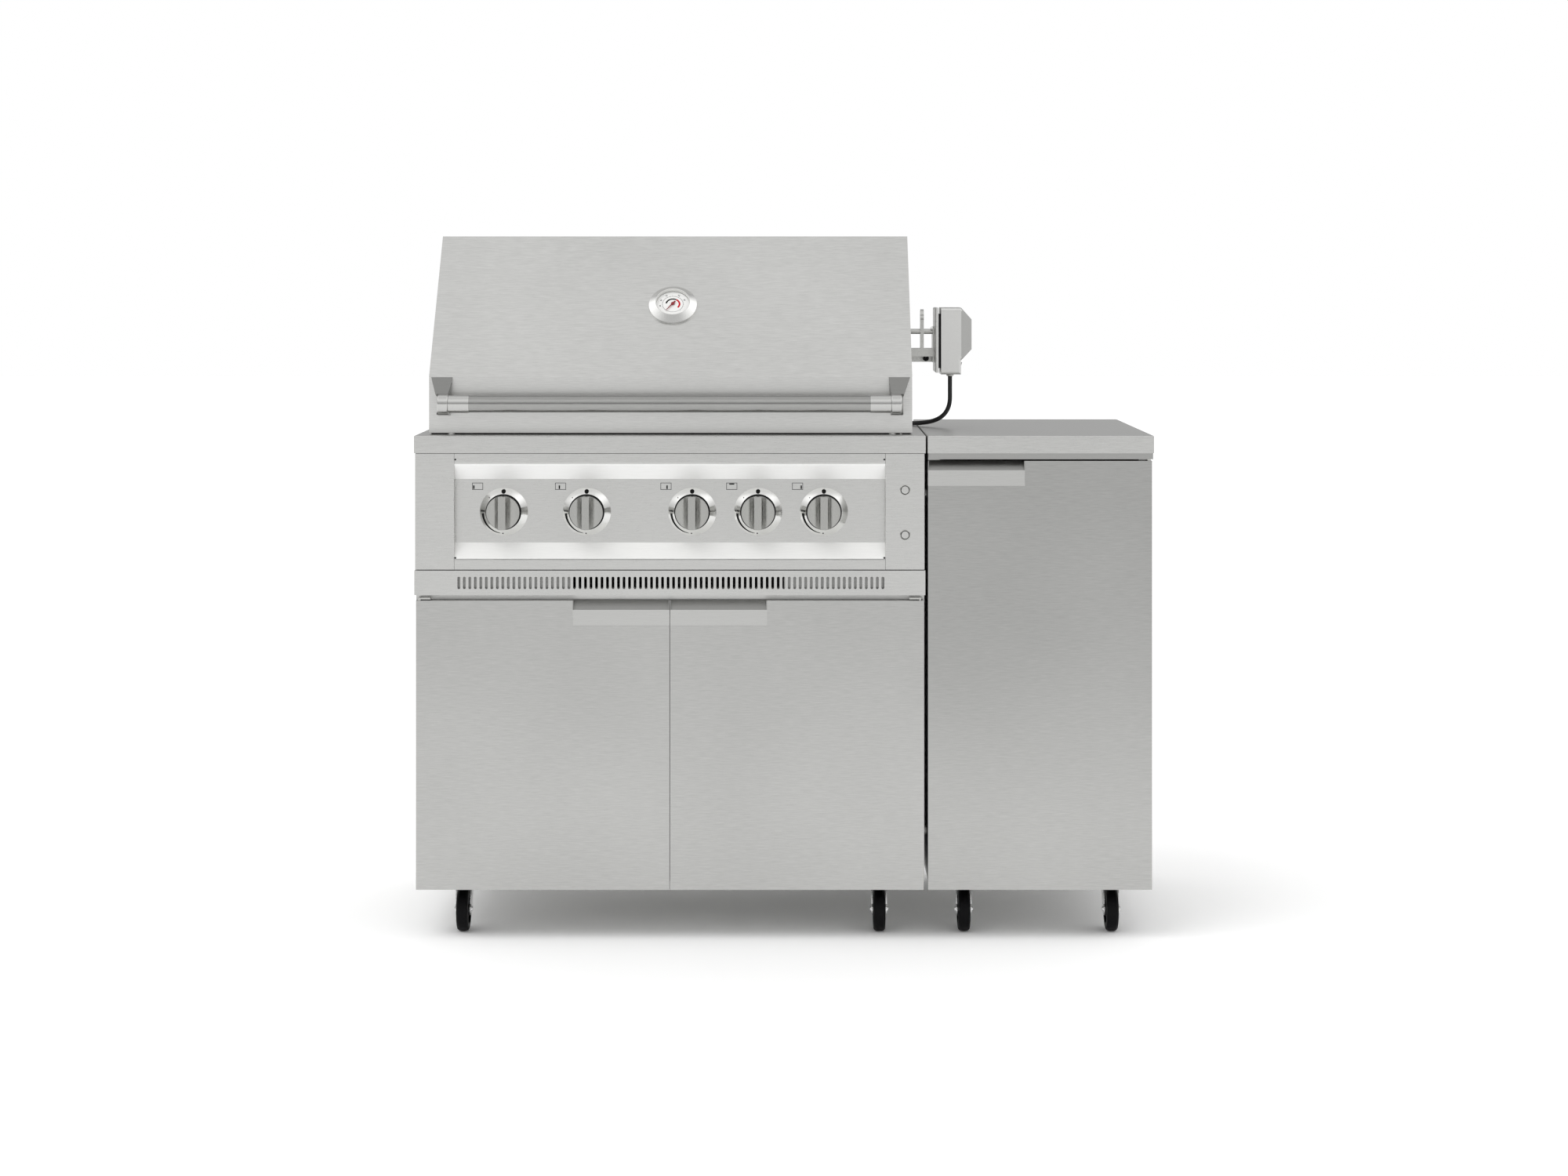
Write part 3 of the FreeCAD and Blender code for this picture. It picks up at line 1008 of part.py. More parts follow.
def coil_path():
    """The coil's half turns: two layers, in and out again, with the climb where it reverses."""
    radius = size("coil_radius")
    step = size("coil_pitch") / 2
    lift = size("layer_pitch")
    here = Vector(size("coil_x"), size("coil_y") - radius, size("cord_level"))
    way = -1
    edges = [Part.LineSegment(coil_start(), here).toShape()]
    for number in range(2 * HALF_TURNS + 1):
        bend = radius - step * min(number, 2 * HALF_TURNS - number)
        side = Vector(way, 0, 0)
        across = Vector(0, -2 * bend * way, lift if number == HALF_TURNS else 0)
        reach = across.Length / 2
        along = Vector(across).normalize()
        centre = here + along * reach
        middle = centre + side * reach
        for start, end in ((here, middle), (middle, here + across)):
            toward = ((start + end) * 0.5 - centre).normalize()
            edges.append(Part.Arc(start, centre + toward * reach, end).toShape())
        here = here + across
        way = -way
    tail = here + Vector(way * size("coil_tail"), 0, 0)
    edges.append(Part.LineSegment(here, tail).toShape())
    return edges


def least_gap(edges, radius):
    """The smallest gap between stretches of a tube that aren't neighbours along it."""
    points = []
    run = 0
    for edge in edges:
        count = max(2, int(edge.Length / 2))
        for index in range(count):
            portion = edge.getParameterByLength(edge.Length * index / count)
            points.append((run + edge.Length * index / count, edge.valueAt(portion)))
        run += edge.Length
    gaps = [(a - b).Length for i, (u, a) in enumerate(points)
            for v, b in points[i + 1:] if v - u > 12 * radius]
    return min(gaps) - 2 * radius


def lead():
    radius = size("cord_radius")
    node("cord_gland", cone("Z", "bush_x", "spit_y", "bush_foot", "bush_radius - bush_taper", "bush_radius",
                            "bush_length"))
    edges, radii = rounded_path(cord_route())
    tube = built(swept(edges, radius))
    node("motor_cord", tube)
    free = sum(edge.Length for edge in edges)
    print("cord radii", [round(value, 1) for value in radii])
    print("cord free length", round(free, 1), "volume ratio",
          round(tube.Shape.Volume / (free * math.pi * radius ** 2), 4))
    turns = coil_path()
    coil = built(swept(turns, radius))
    node("cord_coil", coil)
    wound = sum(edge.Length for edge in turns)
    print("coil length", round(wound, 1), "least gap", round(least_gap(turns, radius), 2), "volume ratio",
          round(coil.Shape.Volume / (wound * math.pi * radius ** 2), 4))
    print("whole lead", round(free + wound, 1))
    relief = cone("X", "plug_x", "plug_y", "plug_z", "cord_radius + relief_tip",
                  "cord_radius + relief_root", "relief_length")
    grip = rod("X", "grip_x", "plug_y", "plug_z", "plug_radius", "plug_body")
    flats = box("grip_x", "plug_y - plug_radius", "plug_z - plug_radius + plug_flat", "plug_body",
                "2 * plug_radius", "2 * (plug_radius - plug_flat)")
    prongs = [rod("X", "grip_x + plug_body - 1", "plug_y + %d * prong_spread" % sign, "plug_z",
                  "prong_radius", "prong_length + 1") for sign in (-1, 1)]
    node("cord_plug", fuse(relief, common(grip, flats), *prongs))


# Castors: swivelling ones with brakes at the front, fixed ones at the back.
def fork_legs(x, top_y, wheel_line):
    """The two side plates of a fork and the bar that joins them above the wheel."""
    ahead, behind = ("fork_heel", "fork_cheek")
    if size(top_y + " - (" + wheel_line + ")") < 0:
        ahead, behind = behind, ahead
    side = [(top_y + " - " + ahead, "head_top"), (top_y + " + " + behind, "head_top"),
            (wheel_line + " + fork_toe", "wheel_radius - fork_dip"),
            (wheel_line + " - fork_toe", "wheel_radius - fork_dip")]
    legs = [prism("YZ", side, x + start, "fork_gauge") for start in (" - fork_outer", " + fork_inner")]
    bar = box(x + " - fork_outer", top_y + " - fork_cheek", "head_foot", "2 * fork_outer", "2 * fork_cheek",
              "head_height")
    eyes = [rod("X", x + start, wheel_line, "wheel_radius", "fork_eye", "fork_gauge")
            for start in (" - fork_outer", " + fork_inner")]
    axle = rod("X", x + " - fork_outer", wheel_line, "wheel_radius", "axle_radius", "2 * fork_outer")
    nuts = [rod("X", x + start, wheel_line, "wheel_radius", "nut_radius", "nut_length")
            for start in (" - fork_outer - nut_length", " + fork_outer")]
    return legs + [bar, axle] + eyes + nuts


def wheel(label, x, y):
    """A wheel with a rounded tread and a sunk web on each side."""
    left, right = x + " - wheel_width / 2", x + " + wheel_width / 2"
    tyre = rod("X", left, y, "wheel_radius", "wheel_radius", "wheel_width")
    tyre = rounded(tyre, "wheel_edge", lambda edge: edge.isClosed())
    grooves = []
    for start in (left + " - 1", right + " - web_depth"):
        outer = rod("X", start, y, "wheel_radius", "rim_radius", "web_depth + 1")
        inner = rod("X", start, y, "wheel_radius", "hub_radius", "web_depth + 1")
        grooves.append(cut(outer, inner))
    bore = rod("X", x + " - wheel_width", y, "wheel_radius", "axle_radius + pivot_clearance",
               "2 * wheel_width")
    node(label, cut(tyre, bore, *grooves))


def brake(label, x):
    """A tread that tips on a cross pin of the fork."""
    width = "2 * (fork_inner - brake_play)"
    left = x + " - fork_inner + brake_play"
    tip = "wheel_y - brake_reach"
    hub = rod("X", left, "brake_y", "brake_z", "brake_hub", width)
    tread = prism("YZ", [
        ("brake_y - 0.2 * brake_hub", "brake_z - 0.6 * brake_hub"),
        ("brake_y", "brake_z + 0.98 * brake_hub"),
        (tip + " + brake_nose", "brake_z + brake_crown"), (tip, "brake_z + brake_tip"),
        (tip, "brake_z + brake_tip - brake_gauge"),
        (tip + " + brake_nose - 1", "brake_z + brake_crown - brake_gauge")], left, width)
    eye = rod("X", x + " - fork_outer", "brake_y", "brake_z", "brake_pin + pivot_clearance",
              "2 * fork_outer")
    node(label, cut(fuse(hub, tread), eye))


def castors():
    places = ["cart_left + castor_inset", "cart_right - castor_inset",
              "side_left + side_castor_inset", "side_right - side_castor_inset"]
    fixed = []
    for number, x in enumerate(places, 1):
        plate = box(x + " - plate_size / 2", "swivel_y - plate_size / 2", "plate_z", "plate_size",
                    "plate_size", "castor_plate")
        pin = rod("Z", x, "swivel_y", "head_foot - washer_gauge", "kingpin_radius",
                  "plate_z - head_foot + washer_gauge + 1")
        washer = rod("Z", x, "swivel_y", "head_foot - washer_gauge", "washer_radius",
                     "washer_gauge - run_gap")
        fixed.append(fuse(plate, pin, washer))
        bore = rod("Z", x, "swivel_y", "head_foot - 1", "kingpin_radius + pivot_clearance",
                   "head_height + 2")
        race = rod("Z", x, "swivel_y", "head_foot", "head_radius", "head_height")
        cross = rod("X", x + " - fork_outer", "brake_y", "brake_z", "brake_pin", "2 * fork_outer")
        parts = fork_legs(x, "swivel_y", "wheel_y")
        node("castor_fork_%d" % number, cut(fuse(race, cross, *parts), bore))
        wheel("castor_wheel_%d" % number, x, "wheel_y")
        brake("castor_brake_%d" % number, x)
        rear = box(x + " - plate_size / 2", "rear_plate_y - plate_size / 2", "plate_z", "plate_size",
                   "plate_size", "castor_plate")
        neck = rod("Z", x, "rear_plate_y", "head_foot", "neck_radius", "plate_z - head_foot + 1")
        fixed.append(fuse(rear, neck, *fork_legs(x, "rear_plate_y", "rear_wheel_y")))
        wheel("rear_wheel_%d" % number, x, "rear_wheel_y")
    node("castor_plates", *fixed)


def finish():
    """Recompute, check every object and write each sub-part to its file."""
    doc.recompute()
    bad = [item.Name + " " + ",".join(item.State) for item in doc.Objects
           if "Invalid" in item.State or "Error" in item.State]
    if bad:
        raise RuntimeError("not computed: " + "; ".join(bad[:10]))
    os.makedirs("parts", exist_ok=True)
    for made in NODES:
        shape = made.Shape
        if shape.isNull() or not shape.isValid() or shape.Volume <= 0:
            raise RuntimeError("bad shape: " + made.Label)
        shape.exportStep("parts/%s.step" % made.Label)
        limits = shape.optimalBoundingBox()
        print("%-20s solids %2d  x %.1f %.1f  y %.1f %.1f  z %.1f %.1f" % (
            made.Label, len(shape.Solids), limits.XMin, limits.XMax, limits.YMin, limits.YMax,
            limits.ZMin, limits.ZMax))
    print(len(NODES), "nodes")


worktops()
cabinets()
doors()
front_panels()
controls()
gas_train()
firebox()
rear_housing()
hood()
thermometer()
drip_tray()
rotisserie()
lead()
castors()
finish()
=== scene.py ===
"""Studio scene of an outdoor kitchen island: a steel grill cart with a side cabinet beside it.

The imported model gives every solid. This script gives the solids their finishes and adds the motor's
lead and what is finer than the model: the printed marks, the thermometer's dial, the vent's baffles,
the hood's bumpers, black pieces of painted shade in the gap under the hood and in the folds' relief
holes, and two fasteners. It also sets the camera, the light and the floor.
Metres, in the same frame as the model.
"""
from __future__ import annotations

import json
import logging
import math
from dataclasses import dataclass, field
from enum import Enum
from typing import Callable, Optional, Sequence

import bmesh
import bpy
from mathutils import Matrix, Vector


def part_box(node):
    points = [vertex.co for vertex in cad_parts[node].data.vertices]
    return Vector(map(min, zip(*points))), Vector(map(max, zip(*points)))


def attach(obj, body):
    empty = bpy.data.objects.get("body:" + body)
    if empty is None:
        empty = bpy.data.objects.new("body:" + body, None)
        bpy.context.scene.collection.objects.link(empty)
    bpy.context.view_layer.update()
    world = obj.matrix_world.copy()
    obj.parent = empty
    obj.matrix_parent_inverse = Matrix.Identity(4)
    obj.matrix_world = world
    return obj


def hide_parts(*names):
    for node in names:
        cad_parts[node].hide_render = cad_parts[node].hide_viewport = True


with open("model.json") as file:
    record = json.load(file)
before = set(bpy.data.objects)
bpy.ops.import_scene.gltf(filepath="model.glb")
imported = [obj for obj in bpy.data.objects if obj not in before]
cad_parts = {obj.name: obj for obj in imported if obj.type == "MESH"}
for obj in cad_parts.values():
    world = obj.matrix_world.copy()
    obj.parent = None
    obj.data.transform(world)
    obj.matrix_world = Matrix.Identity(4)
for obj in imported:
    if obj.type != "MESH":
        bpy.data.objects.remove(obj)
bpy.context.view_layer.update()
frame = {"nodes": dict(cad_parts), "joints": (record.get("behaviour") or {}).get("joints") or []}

LOG = logging.getLogger("island")
MM = 0.001
NODES = frame["nodes"]
ISLAND = "island"
HOOD = "hood"
UP = Vector((0, 0, 1))
RIGHT = Vector((1, 0, 0))
TO_FRONT = Vector((0, -1, 0))
Colour = tuple[float, float, float, float]

# A face counts as lying in a plane when its centre is this near it.
SKIN = 0.5 * MM
# The size of the clouds in a sheet's tone, and how much they count beside its streaks.
CLOUD_MM = 1000 / 3
CLOUD_SHARE = 0.35
# Heights between which painted shade darkens a sheet: from near the doors' foot to near the worktop.
TOP_SHADE_FOOT = 0.17
TOP_SHADE_HEAD = 0.63
# Numbers of the Mix node's colour sockets, whose names its other sockets share.
MIX_FIRST = 6
MIX_SECOND = 7
MIX_RESULT = 2


def linear(hex_colour: str) -> Colour:
    """Turn an sRGB hex colour to linear light.

    Args:
        hex_colour: six hex digits after a hash.

    Returns:
        Red, green, blue and a full alpha.
    """
    parts = [int(hex_colour[i:i + 2], 16) / 255 for i in (1, 3, 5)]
    light = [c / 12.92 if c <= 0.04045 else ((c + 0.055) / 1.055) ** 2.4 for c in parts]
    return (light[0], light[1], light[2], 1.0)


def grey(level: float) -> Colour:
    """Return the neutral colour of a level of linear light."""
    return (level, level, level, 1.0)


def shades(hex_colour: str, contrast: float) -> tuple[Colour, Colour]:
    """Work out the dark and the light shade of a colour.

    Args:
        hex_colour: six hex digits after a hash.
        contrast: how far each shade is from the colour, as a share of it.

    Returns:
        The dark shade and the light one, which is at most white.
    """
    parts = linear(hex_colour)[:3]
    dark = tuple(c * (1 - contrast) for c in parts) + (1.0,)
    light = tuple(min(1.0, c * (1 + contrast)) for c in parts) + (1.0,)
    return dark, light


def add_node(tree: bpy.types.NodeTree, kind: str, sockets: Optional[dict] = None,
             **settings: object) -> bpy.types.Node:
    """Add a shader node with its settings, its values and its links.

    Args:
        tree: the node tree that it goes into.
        kind: Blender's name of the node.
        sockets: a value, or the output socket that feeds it, by input name or number.
        settings: the node's own properties.

    Returns:
        The new node.
    """
    made = tree.nodes.new(kind)
    for name, value in settings.items():
        setattr(made, name, value)
    for key, value in (sockets or {}).items():
        if isinstance(value, bpy.types.NodeSocket):
            tree.links.new(value, made.inputs[key])
        else:
            made.inputs[key].default_value = value
    return made


def empty_material(name: str) -> bpy.types.Material:
    """Make a material whose node tree is still empty.

    Args:
        name: the material's name.

    Returns:
        The new material.
    """
    material = bpy.data.materials.new(name)
    material.use_nodes = True
    material.node_tree.nodes.clear()
    return material


class Grain(Enum):
    """The way that a brush or a mill has run over a sheet, as millimetres per streak."""

    ALONG_X = (26.0, 2.4, 1.5)
    ALONG_Y = (2.4, 26.0, 1.5)
    ALONG_Z = (1.5, 2.4, 26.0)
    NONE = (1.4, 1.4, 1.4)


@dataclass(frozen=True)
class MetalFinish:
    """A metal with a worked surface.

    The streaks of a real brushed sheet are about 0.1 mm wide. They are drawn 1.5 mm wide, because
    finer ones don't show at the picture's size. The painted top shade is how much a sheet is darkened
    from the floor to the worktop: painted shade, where it would mirror less of the pale floor.
    """

    name: str
    colour: str
    roughness: float
    grain: Grain = Grain.ALONG_X
    contrast: float = 0.05
    spread: float = 0.05
    relief_mm: float = 0.02
    # Painted shade: how much the colour darkens from the floor to the worktop.
    painted_top_shade: float = 0.0
    metallic: float = 1.0

    def tone(self, tree: bpy.types.NodeTree, place: bpy.types.NodeSocket,
             streak: bpy.types.NodeSocket) -> bpy.types.NodeSocket:
        """Vary the colour with the streaks and broad clouds, and darken it with height as painted shade.

        Args:
            tree: the material's node tree.
            place: where on the solid a point is.
            streak: the streaks' pattern.

        Returns:
            The colour.
        """
        cloud = add_node(tree, "ShaderNodeTexNoise", {"Vector": place, "Scale": 1 / (CLOUD_MM * MM),
                                                      "Detail": 1.0})
        mixed = add_node(tree, "ShaderNodeMath", {0: cloud.outputs["Fac"], 1: CLOUD_SHARE, 2: streak},
                         operation="MULTIPLY_ADD")
        tint = add_node(tree, "ShaderNodeMapRange", {"Value": mixed.outputs[0], "From Min": 0.45,
                                                     "From Max": 0.95})
        dark, light = shades(self.colour, self.contrast)
        colour = add_node(tree, "ShaderNodeMix", {
            "Factor": tint.outputs[0], MIX_FIRST: dark, MIX_SECOND: light}, data_type="RGBA")
        height = add_node(tree, "ShaderNodeSeparateXYZ", {0: place})
        # Painted shade: the colour darkens with height.
        height_shade = add_node(tree, "ShaderNodeMapRange", {
            "Value": height.outputs["Z"], "From Min": TOP_SHADE_FOOT, "From Max": TOP_SHADE_HEAD, "To Min": 1.0,
            "To Max": 1.0 - self.painted_top_shade}, interpolation_type="SMOOTHSTEP")
        toned = add_node(tree, "ShaderNodeVectorMath", {
            0: colour.outputs[MIX_RESULT], 1: height_shade.outputs[0]}, operation="MULTIPLY")
        return toned.outputs[0]

    def build(self) -> bpy.types.Material:
        """Make the material: streaks drive its tone, its roughness and a shallow relief.

        Returns:
            The material.
        """
        material = empty_material(self.name)
        tree = material.node_tree
        place = add_node(tree, "ShaderNodeTexCoord").outputs["Object"]
        scale = [1 / (length * MM) for length in self.grain.value]
        fine = add_node(tree, "ShaderNodeMapping", {"Vector": place, "Scale": scale})
        streak = add_node(tree, "ShaderNodeTexNoise", {
            "Vector": fine.outputs[0], "Scale": 1.0, "Detail": 3.0, "Roughness": 0.65}).outputs["Fac"]
        rough = add_node(tree, "ShaderNodeMapRange", {
            "Value": streak, "From Min": 0.3, "From Max": 0.7, "To Min": self.roughness - self.spread,
            "To Max": self.roughness + self.spread})
        bump = add_node(tree, "ShaderNodeBump", {"Height": streak, "Strength": 0.35,
                                                 "Distance": self.relief_mm * MM})
        shader = add_node(tree, "ShaderNodeBsdfPrincipled", {
            "Base Color": self.tone(tree, place, streak), "Metallic": self.metallic,
            "Roughness": rough.outputs[0], "Normal": bump.outputs[0]})
        add_node(tree, "ShaderNodeOutputMaterial", {"Surface": shader.outputs[0]})
        return material


@dataclass(frozen=True)
class MouldedFinish:
    """A plastic, rubber, ink or enamel with the fine pebble of its mould or its print."""

    name: str
    colour: str
    roughness: float
    pebble_mm: float = 0.8
    relief_mm: float = 0.03
    contrast: float = 0.12
    spread: float = 0.05
    ior: float = 1.5

    def build(self) -> bpy.types.Material:
        """Make the material: the pebble drives its tone, its roughness and a shallow relief.

        Returns:
            The material.
        """
        material = empty_material(self.name)
        tree = material.node_tree
        place = add_node(tree, "ShaderNodeTexCoord").outputs["Object"]
        pebble = add_node(tree, "ShaderNodeTexNoise", {
            "Vector": place, "Scale": 1 / (self.pebble_mm * MM), "Detail": 2.0}).outputs["Fac"]
        dark, light = shades(self.colour, self.contrast)
        colour = add_node(tree, "ShaderNodeMix", {
            "Factor": pebble, MIX_FIRST: dark, MIX_SECOND: light}, data_type="RGBA")
        rough = add_node(tree, "ShaderNodeMapRange", {
            "Value": pebble, "To Min": self.roughness - self.spread,
            "To Max": self.roughness + self.spread})
        bump = add_node(tree, "ShaderNodeBump", {"Height": pebble, "Strength": 0.4,
                                                 "Distance": self.relief_mm * MM})
        shader = add_node(tree, "ShaderNodeBsdfPrincipled", {
            "Base Color": colour.outputs[MIX_RESULT], "Roughness": rough.outputs[0],
            "Normal": bump.outputs[0], "IOR": self.ior})
        add_node(tree, "ShaderNodeOutputMaterial", {"Surface": shader.outputs[0]})
        return material


Finish = MetalFinish | MouldedFinish

# Ferritic stainless sheet, brushed on a belt: a soft grey sheen with short level streaks.
SHEET = MetalFinish("brushed_stainless_sheet", "#C8C8C6", 0.34, contrast=0.11)
# The same sheet on the hood's upright band, in a paler copy than on its slope: painted light.
BAND_LIGHT_SHEET = MetalFinish("brushed_stainless_band_painted_light", "#CFCFCD", 0.34, contrast=0.11)
# The same sheet on the doors, with painted shade that darkens it towards the worktop. The side door's
# copy is darker, with more painted shade: it stands under the side worktop.
DOOR_SHEET = MetalFinish("brushed_stainless_door", "#BEBEBC", 0.34, contrast=0.11, painted_top_shade=0.09)
SIDE_DOOR_SHEET = MetalFinish("brushed_stainless_side_door", "#BABAB8", 0.34, contrast=0.11,
                              painted_top_shade=0.19)
# The same sheet on the worktops, paler and with fainter streaks.
TOP_SHEET = MetalFinish("brushed_stainless_worktop", "#D2D2D0", 0.36)
# Finer brushed sheet of the front: it stays brighter than the doors.
PANEL_SHEET = MetalFinish("brushed_stainless_panel", "#C3C3C1", 0.30, contrast=0.09)
# The flat plates of the doors' pulls, paler than the doors round them.
PLATE_SHEET = MetalFinish("brushed_stainless_plate", "#BEBEBC", 0.32)
# The panel's folds, half matt and nearly white: painted reflection of the pale floor and the bright
# room.
UPPER_FOLD_REFLECTION = MetalFinish("stainless_fold_painted_reflection", "#FDFDFB", 0.5, Grain.ALONG_X, 0.03, 0.03,
                          metallic=0.4)
LOWER_FOLD_REFLECTION = MetalFinish("stainless_lower_fold_painted_reflection", "#F2F2F0", 0.5, Grain.ALONG_X, 0.03, 0.03,
                         metallic=0.2)
# The same sheet in the pulls' scoops and on the worktop's hem, darker: painted shade. On the rail above
# the doors, a paler copy: painted light in the shaded gap.
SCOOP_SHADE_SHEET = MetalFinish("stainless_scoop_painted_shade", "#959593", 0.40)
RAIL_LIGHT_SHEET = MetalFinish("stainless_rail_painted_light", "#CCCCCA", 0.40)
HEM_SHADE_SHEET = MetalFinish("stainless_hem_painted_shade", "#A6A6A4", 0.36)
# Bent sheet brackets that hold the handle: satin, and darker than the hood as painted shade under its
# lip.
ARM_SATIN_AND_SHADE = MetalFinish("satin_stainless_arm_and_painted_shade", "#8F8F8D", 0.34)
# Polished stainless trim: the knobs' bezels, the buttons' rings and the thermometer's case.
TRIM = MetalFinish("polished_stainless_trim", "#DEDEDC", 0.14, Grain.NONE, 0.03, 0.03, 0.005)
# Turned and brushed tube: the streaks run along the handle.
TUBE = MetalFinish("brushed_stainless_tube", "#9C9C9A", 0.16, Grain.ALONG_X, 0.08, 0.06)
# Polished sleeves and caps at the handle's ends, and the lead's bush: clear, darker reflections.
CAP_TRIM = MetalFinish("polished_stainless_cap", "#BEBEBC", 0.16, Grain.NONE, 0.03, 0.03, 0.005)
# Cast and bead-blasted zinc, plated satin: the knobs' soft, broad highlights.
KNOB_CAST = MetalFinish("blasted_zinc_knob", "#A8A8A5", 0.26, Grain.ALONG_Z, 0.05, 0.05, 0.01)
# Drawn stainless rod: the grates, the spit, the pivots and the bracket.
ROD = MetalFinish("drawn_stainless_rod", "#BDBDBA", 0.30, Grain.ALONG_Y, 0.06)
# Bead-blasted steel of the motor's case: a fine, even satin grey. Its sloped cover gets a darker copy as
# painted shade, where it faces aside.
CASE_SHEET = MetalFinish("satin_steel_case", "#D4D4D2", 0.38, Grain.NONE, 0.04, 0.04, 0.01)
CASE_SIDE_SHADE = MetalFinish("satin_steel_cover_painted_shade", "#AEAEAC", 0.38, Grain.NONE, 0.04, 0.04, 0.01)
# Stainless that heat has tinted straw brown: the firebox and the burners.
HEATED = MetalFinish("heat_tinted_stainless", "#8A857C", 0.42, Grain.NONE, 0.12, 0.08, 0.05)
# Zinc-plated pressed steel, pale and bright: the castors' forks and plates and the bracket's nut.
ZINC = MetalFinish("zinc_plated_steel", "#F0F0F0", 0.25, Grain.NONE, 0.06, 0.05, 0.01)
# Folded galvanised sheet behind the vent slots: dull and grey.
BAFFLE = MetalFinish("galvanised_baffle", "#A9A9A7", 0.50, Grain.NONE, 0.08)
# Brass, warm and smooth: the plug's pins.
BRASS = MetalFinish("brass_strip", "#C9A85A", 0.28, Grain.ALONG_X, 0.05, 0.05, 0.01)
# Moulded rubber tread: nearly black, with a soft sheen.
TYRE = MouldedFinish("moulded_rubber_tyre", "#0B0B0D", 0.48, 1.2, 0.04, ior=1.2)
# Glass-filled nylon, black with a fine pebble: pedals, plug and wing screw. The same black is painted
# shade in the gaps round the knobs and the buttons, and in the motor's neck.
NYLON_AND_GAP_SHADE = MouldedFinish("black_nylon_and_painted_gap_shade", "#121214", 0.42, 0.8, 0.02, ior=1.3)
# Extruded rubber sleeve of the lead: black and smooth.
SLEEVE = MouldedFinish("extruded_rubber_sleeve", "#0D0D0F", 0.38, 0.6, 0.01)
# Injection-moulded switch rocker, grey like the case.
ROCKER = MouldedFinish("moulded_rocker", "#A8A8A6", 0.40)
# Screen-printed inks on steel, dull so that they stay dark where the steel shines.
# The black ink also paints the shade of the folds' relief holes.
BLACK_INK_AND_HOLE_SHADE = MouldedFinish("black_screen_ink_and_painted_hole_shade", "#101010", 0.60, 0.5, 0.0, ior=1.2)
LINE_INK = MouldedFinish("dark_grey_screen_ink", "#4A4A4C", 0.60, 0.5, 0.0, ior=1.2)
GREY_INK = MouldedFinish("grey_screen_ink", "#6E6E70", 0.55, 0.5, 0.0, ior=1.2)
RED_INK = MouldedFinish("red_screen_ink", "#C8202C", 0.50, 0.5, 0.0, ior=1.2)
# White enamel of the thermometer's dial plate: even and glossy.
ENAMEL = MouldedFinish("white_dial_enamel", "#F4F4F2", 0.30, 2.0, 0.0, 0.01)
# Dark red lacquer on the stamped needle.
NEEDLE = MouldedFinish("red_needle_lacquer", "#8A2028", 0.35, 1.0, 0.0)
# Soft pale rubber of the hood's bumpers: matt. The black strip in the gap under the hood is painted
# shade, matt too.
BUMPER = MouldedFinish("soft_rubber_bumper", "#E2E2E0", 0.60)
GAP_SHADE_STRIP = MouldedFinish("black_strip_painted_gap_shade", "#161616", 0.60)


class Shop:
    """Holds each finish's material, made once."""

    made: dict[str, bpy.types.Material] = {}

    @classmethod
    def material(cls, finish: Finish) -> bpy.types.Material:
        """Hand out a finish's material, and make it the first time.

        Args:
            finish: what a surface is made of.

        Returns:
            The one material of that finish.
        """
        if finish.name not in cls.made:
            cls.made[finish.name] = finish.build()
        return cls.made[finish.name]


def dress(node: str, finish: Finish) -> None:
    """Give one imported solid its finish.

    Args:
        node: the solid's name.
        finish: what it is made of.
    """
    mesh = NODES[node].data
    mesh.materials.clear()
    mesh.materials.append(Shop.material(finish))


def dress_part(node: str, finish: Finish, inside: Callable[[Vector], bool]) -> None:
    """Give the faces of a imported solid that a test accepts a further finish.

    Args:
        node: the solid's name.
        finish: the further finish.
        inside: takes a face's centre and says whether it is one of them.
    """
    mesh = NODES[node].data
    mesh.materials.append(Shop.material(finish))
    number = len(mesh.materials) - 1
    for face in mesh.polygons:
        if inside(face.center):
            face.material_index = number


def put(name: str, data: bpy.types.ID) -> bpy.types.Object:
    """Put an object into the scene.

    Args:
        name: the object's name.
        data: its mesh, curve, lamp or camera.

    Returns:
        The new object.
    """
    made = bpy.data.objects.new(name, data)
    bpy.context.scene.collection.objects.link(made)
    return made


def finish_piece(shape: bmesh.types.BMesh, name: str, finish: Finish, body: str,
                 smooth: bool = False) -> bpy.types.Object:
    """Turn a built mesh into a dressed piece that rides on a body.

    Args:
        shape: the geometry, in metres, which is freed.
        name: the piece's name.
        finish: what it is made of.
        body: the body that carries it.
        smooth: whether its faces are shaded smooth.

    Returns:
        The new object.
    """
    bmesh.ops.remove_doubles(shape, verts=shape.verts, dist=1e-6)
    bmesh.ops.recalc_face_normals(shape, faces=shape.faces)
    mesh = bpy.data.meshes.new(name)
    shape.to_mesh(mesh)
    shape.free()
    for face in mesh.polygons:
        face.use_smooth = smooth
    mesh.materials.append(Shop.material(finish))
    piece = put(name, mesh)
    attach(piece, body)
    LOG.info("%s rides on %s", name, body)
    return piece


def loft(shape: bmesh.types.BMesh, rings: Sequence[Sequence[Vector]]) -> None:
    """Add a closed body through rings of points.

    Args:
        shape: the mesh that it goes into.
        rings: each ring's corners in order, from one end of the body to the other.
    """
    made = [[shape.verts.new(point) for point in ring] for ring in rings]
    for low, high in zip(made, made[1:]):
        for step in range(len(low)):
            after = (step + 1) % len(low)
            shape.faces.new((low[step], low[after], high[after], high[step]))
    shape.faces.new(list(reversed(made[0])))
    shape.faces.new(made[-1])


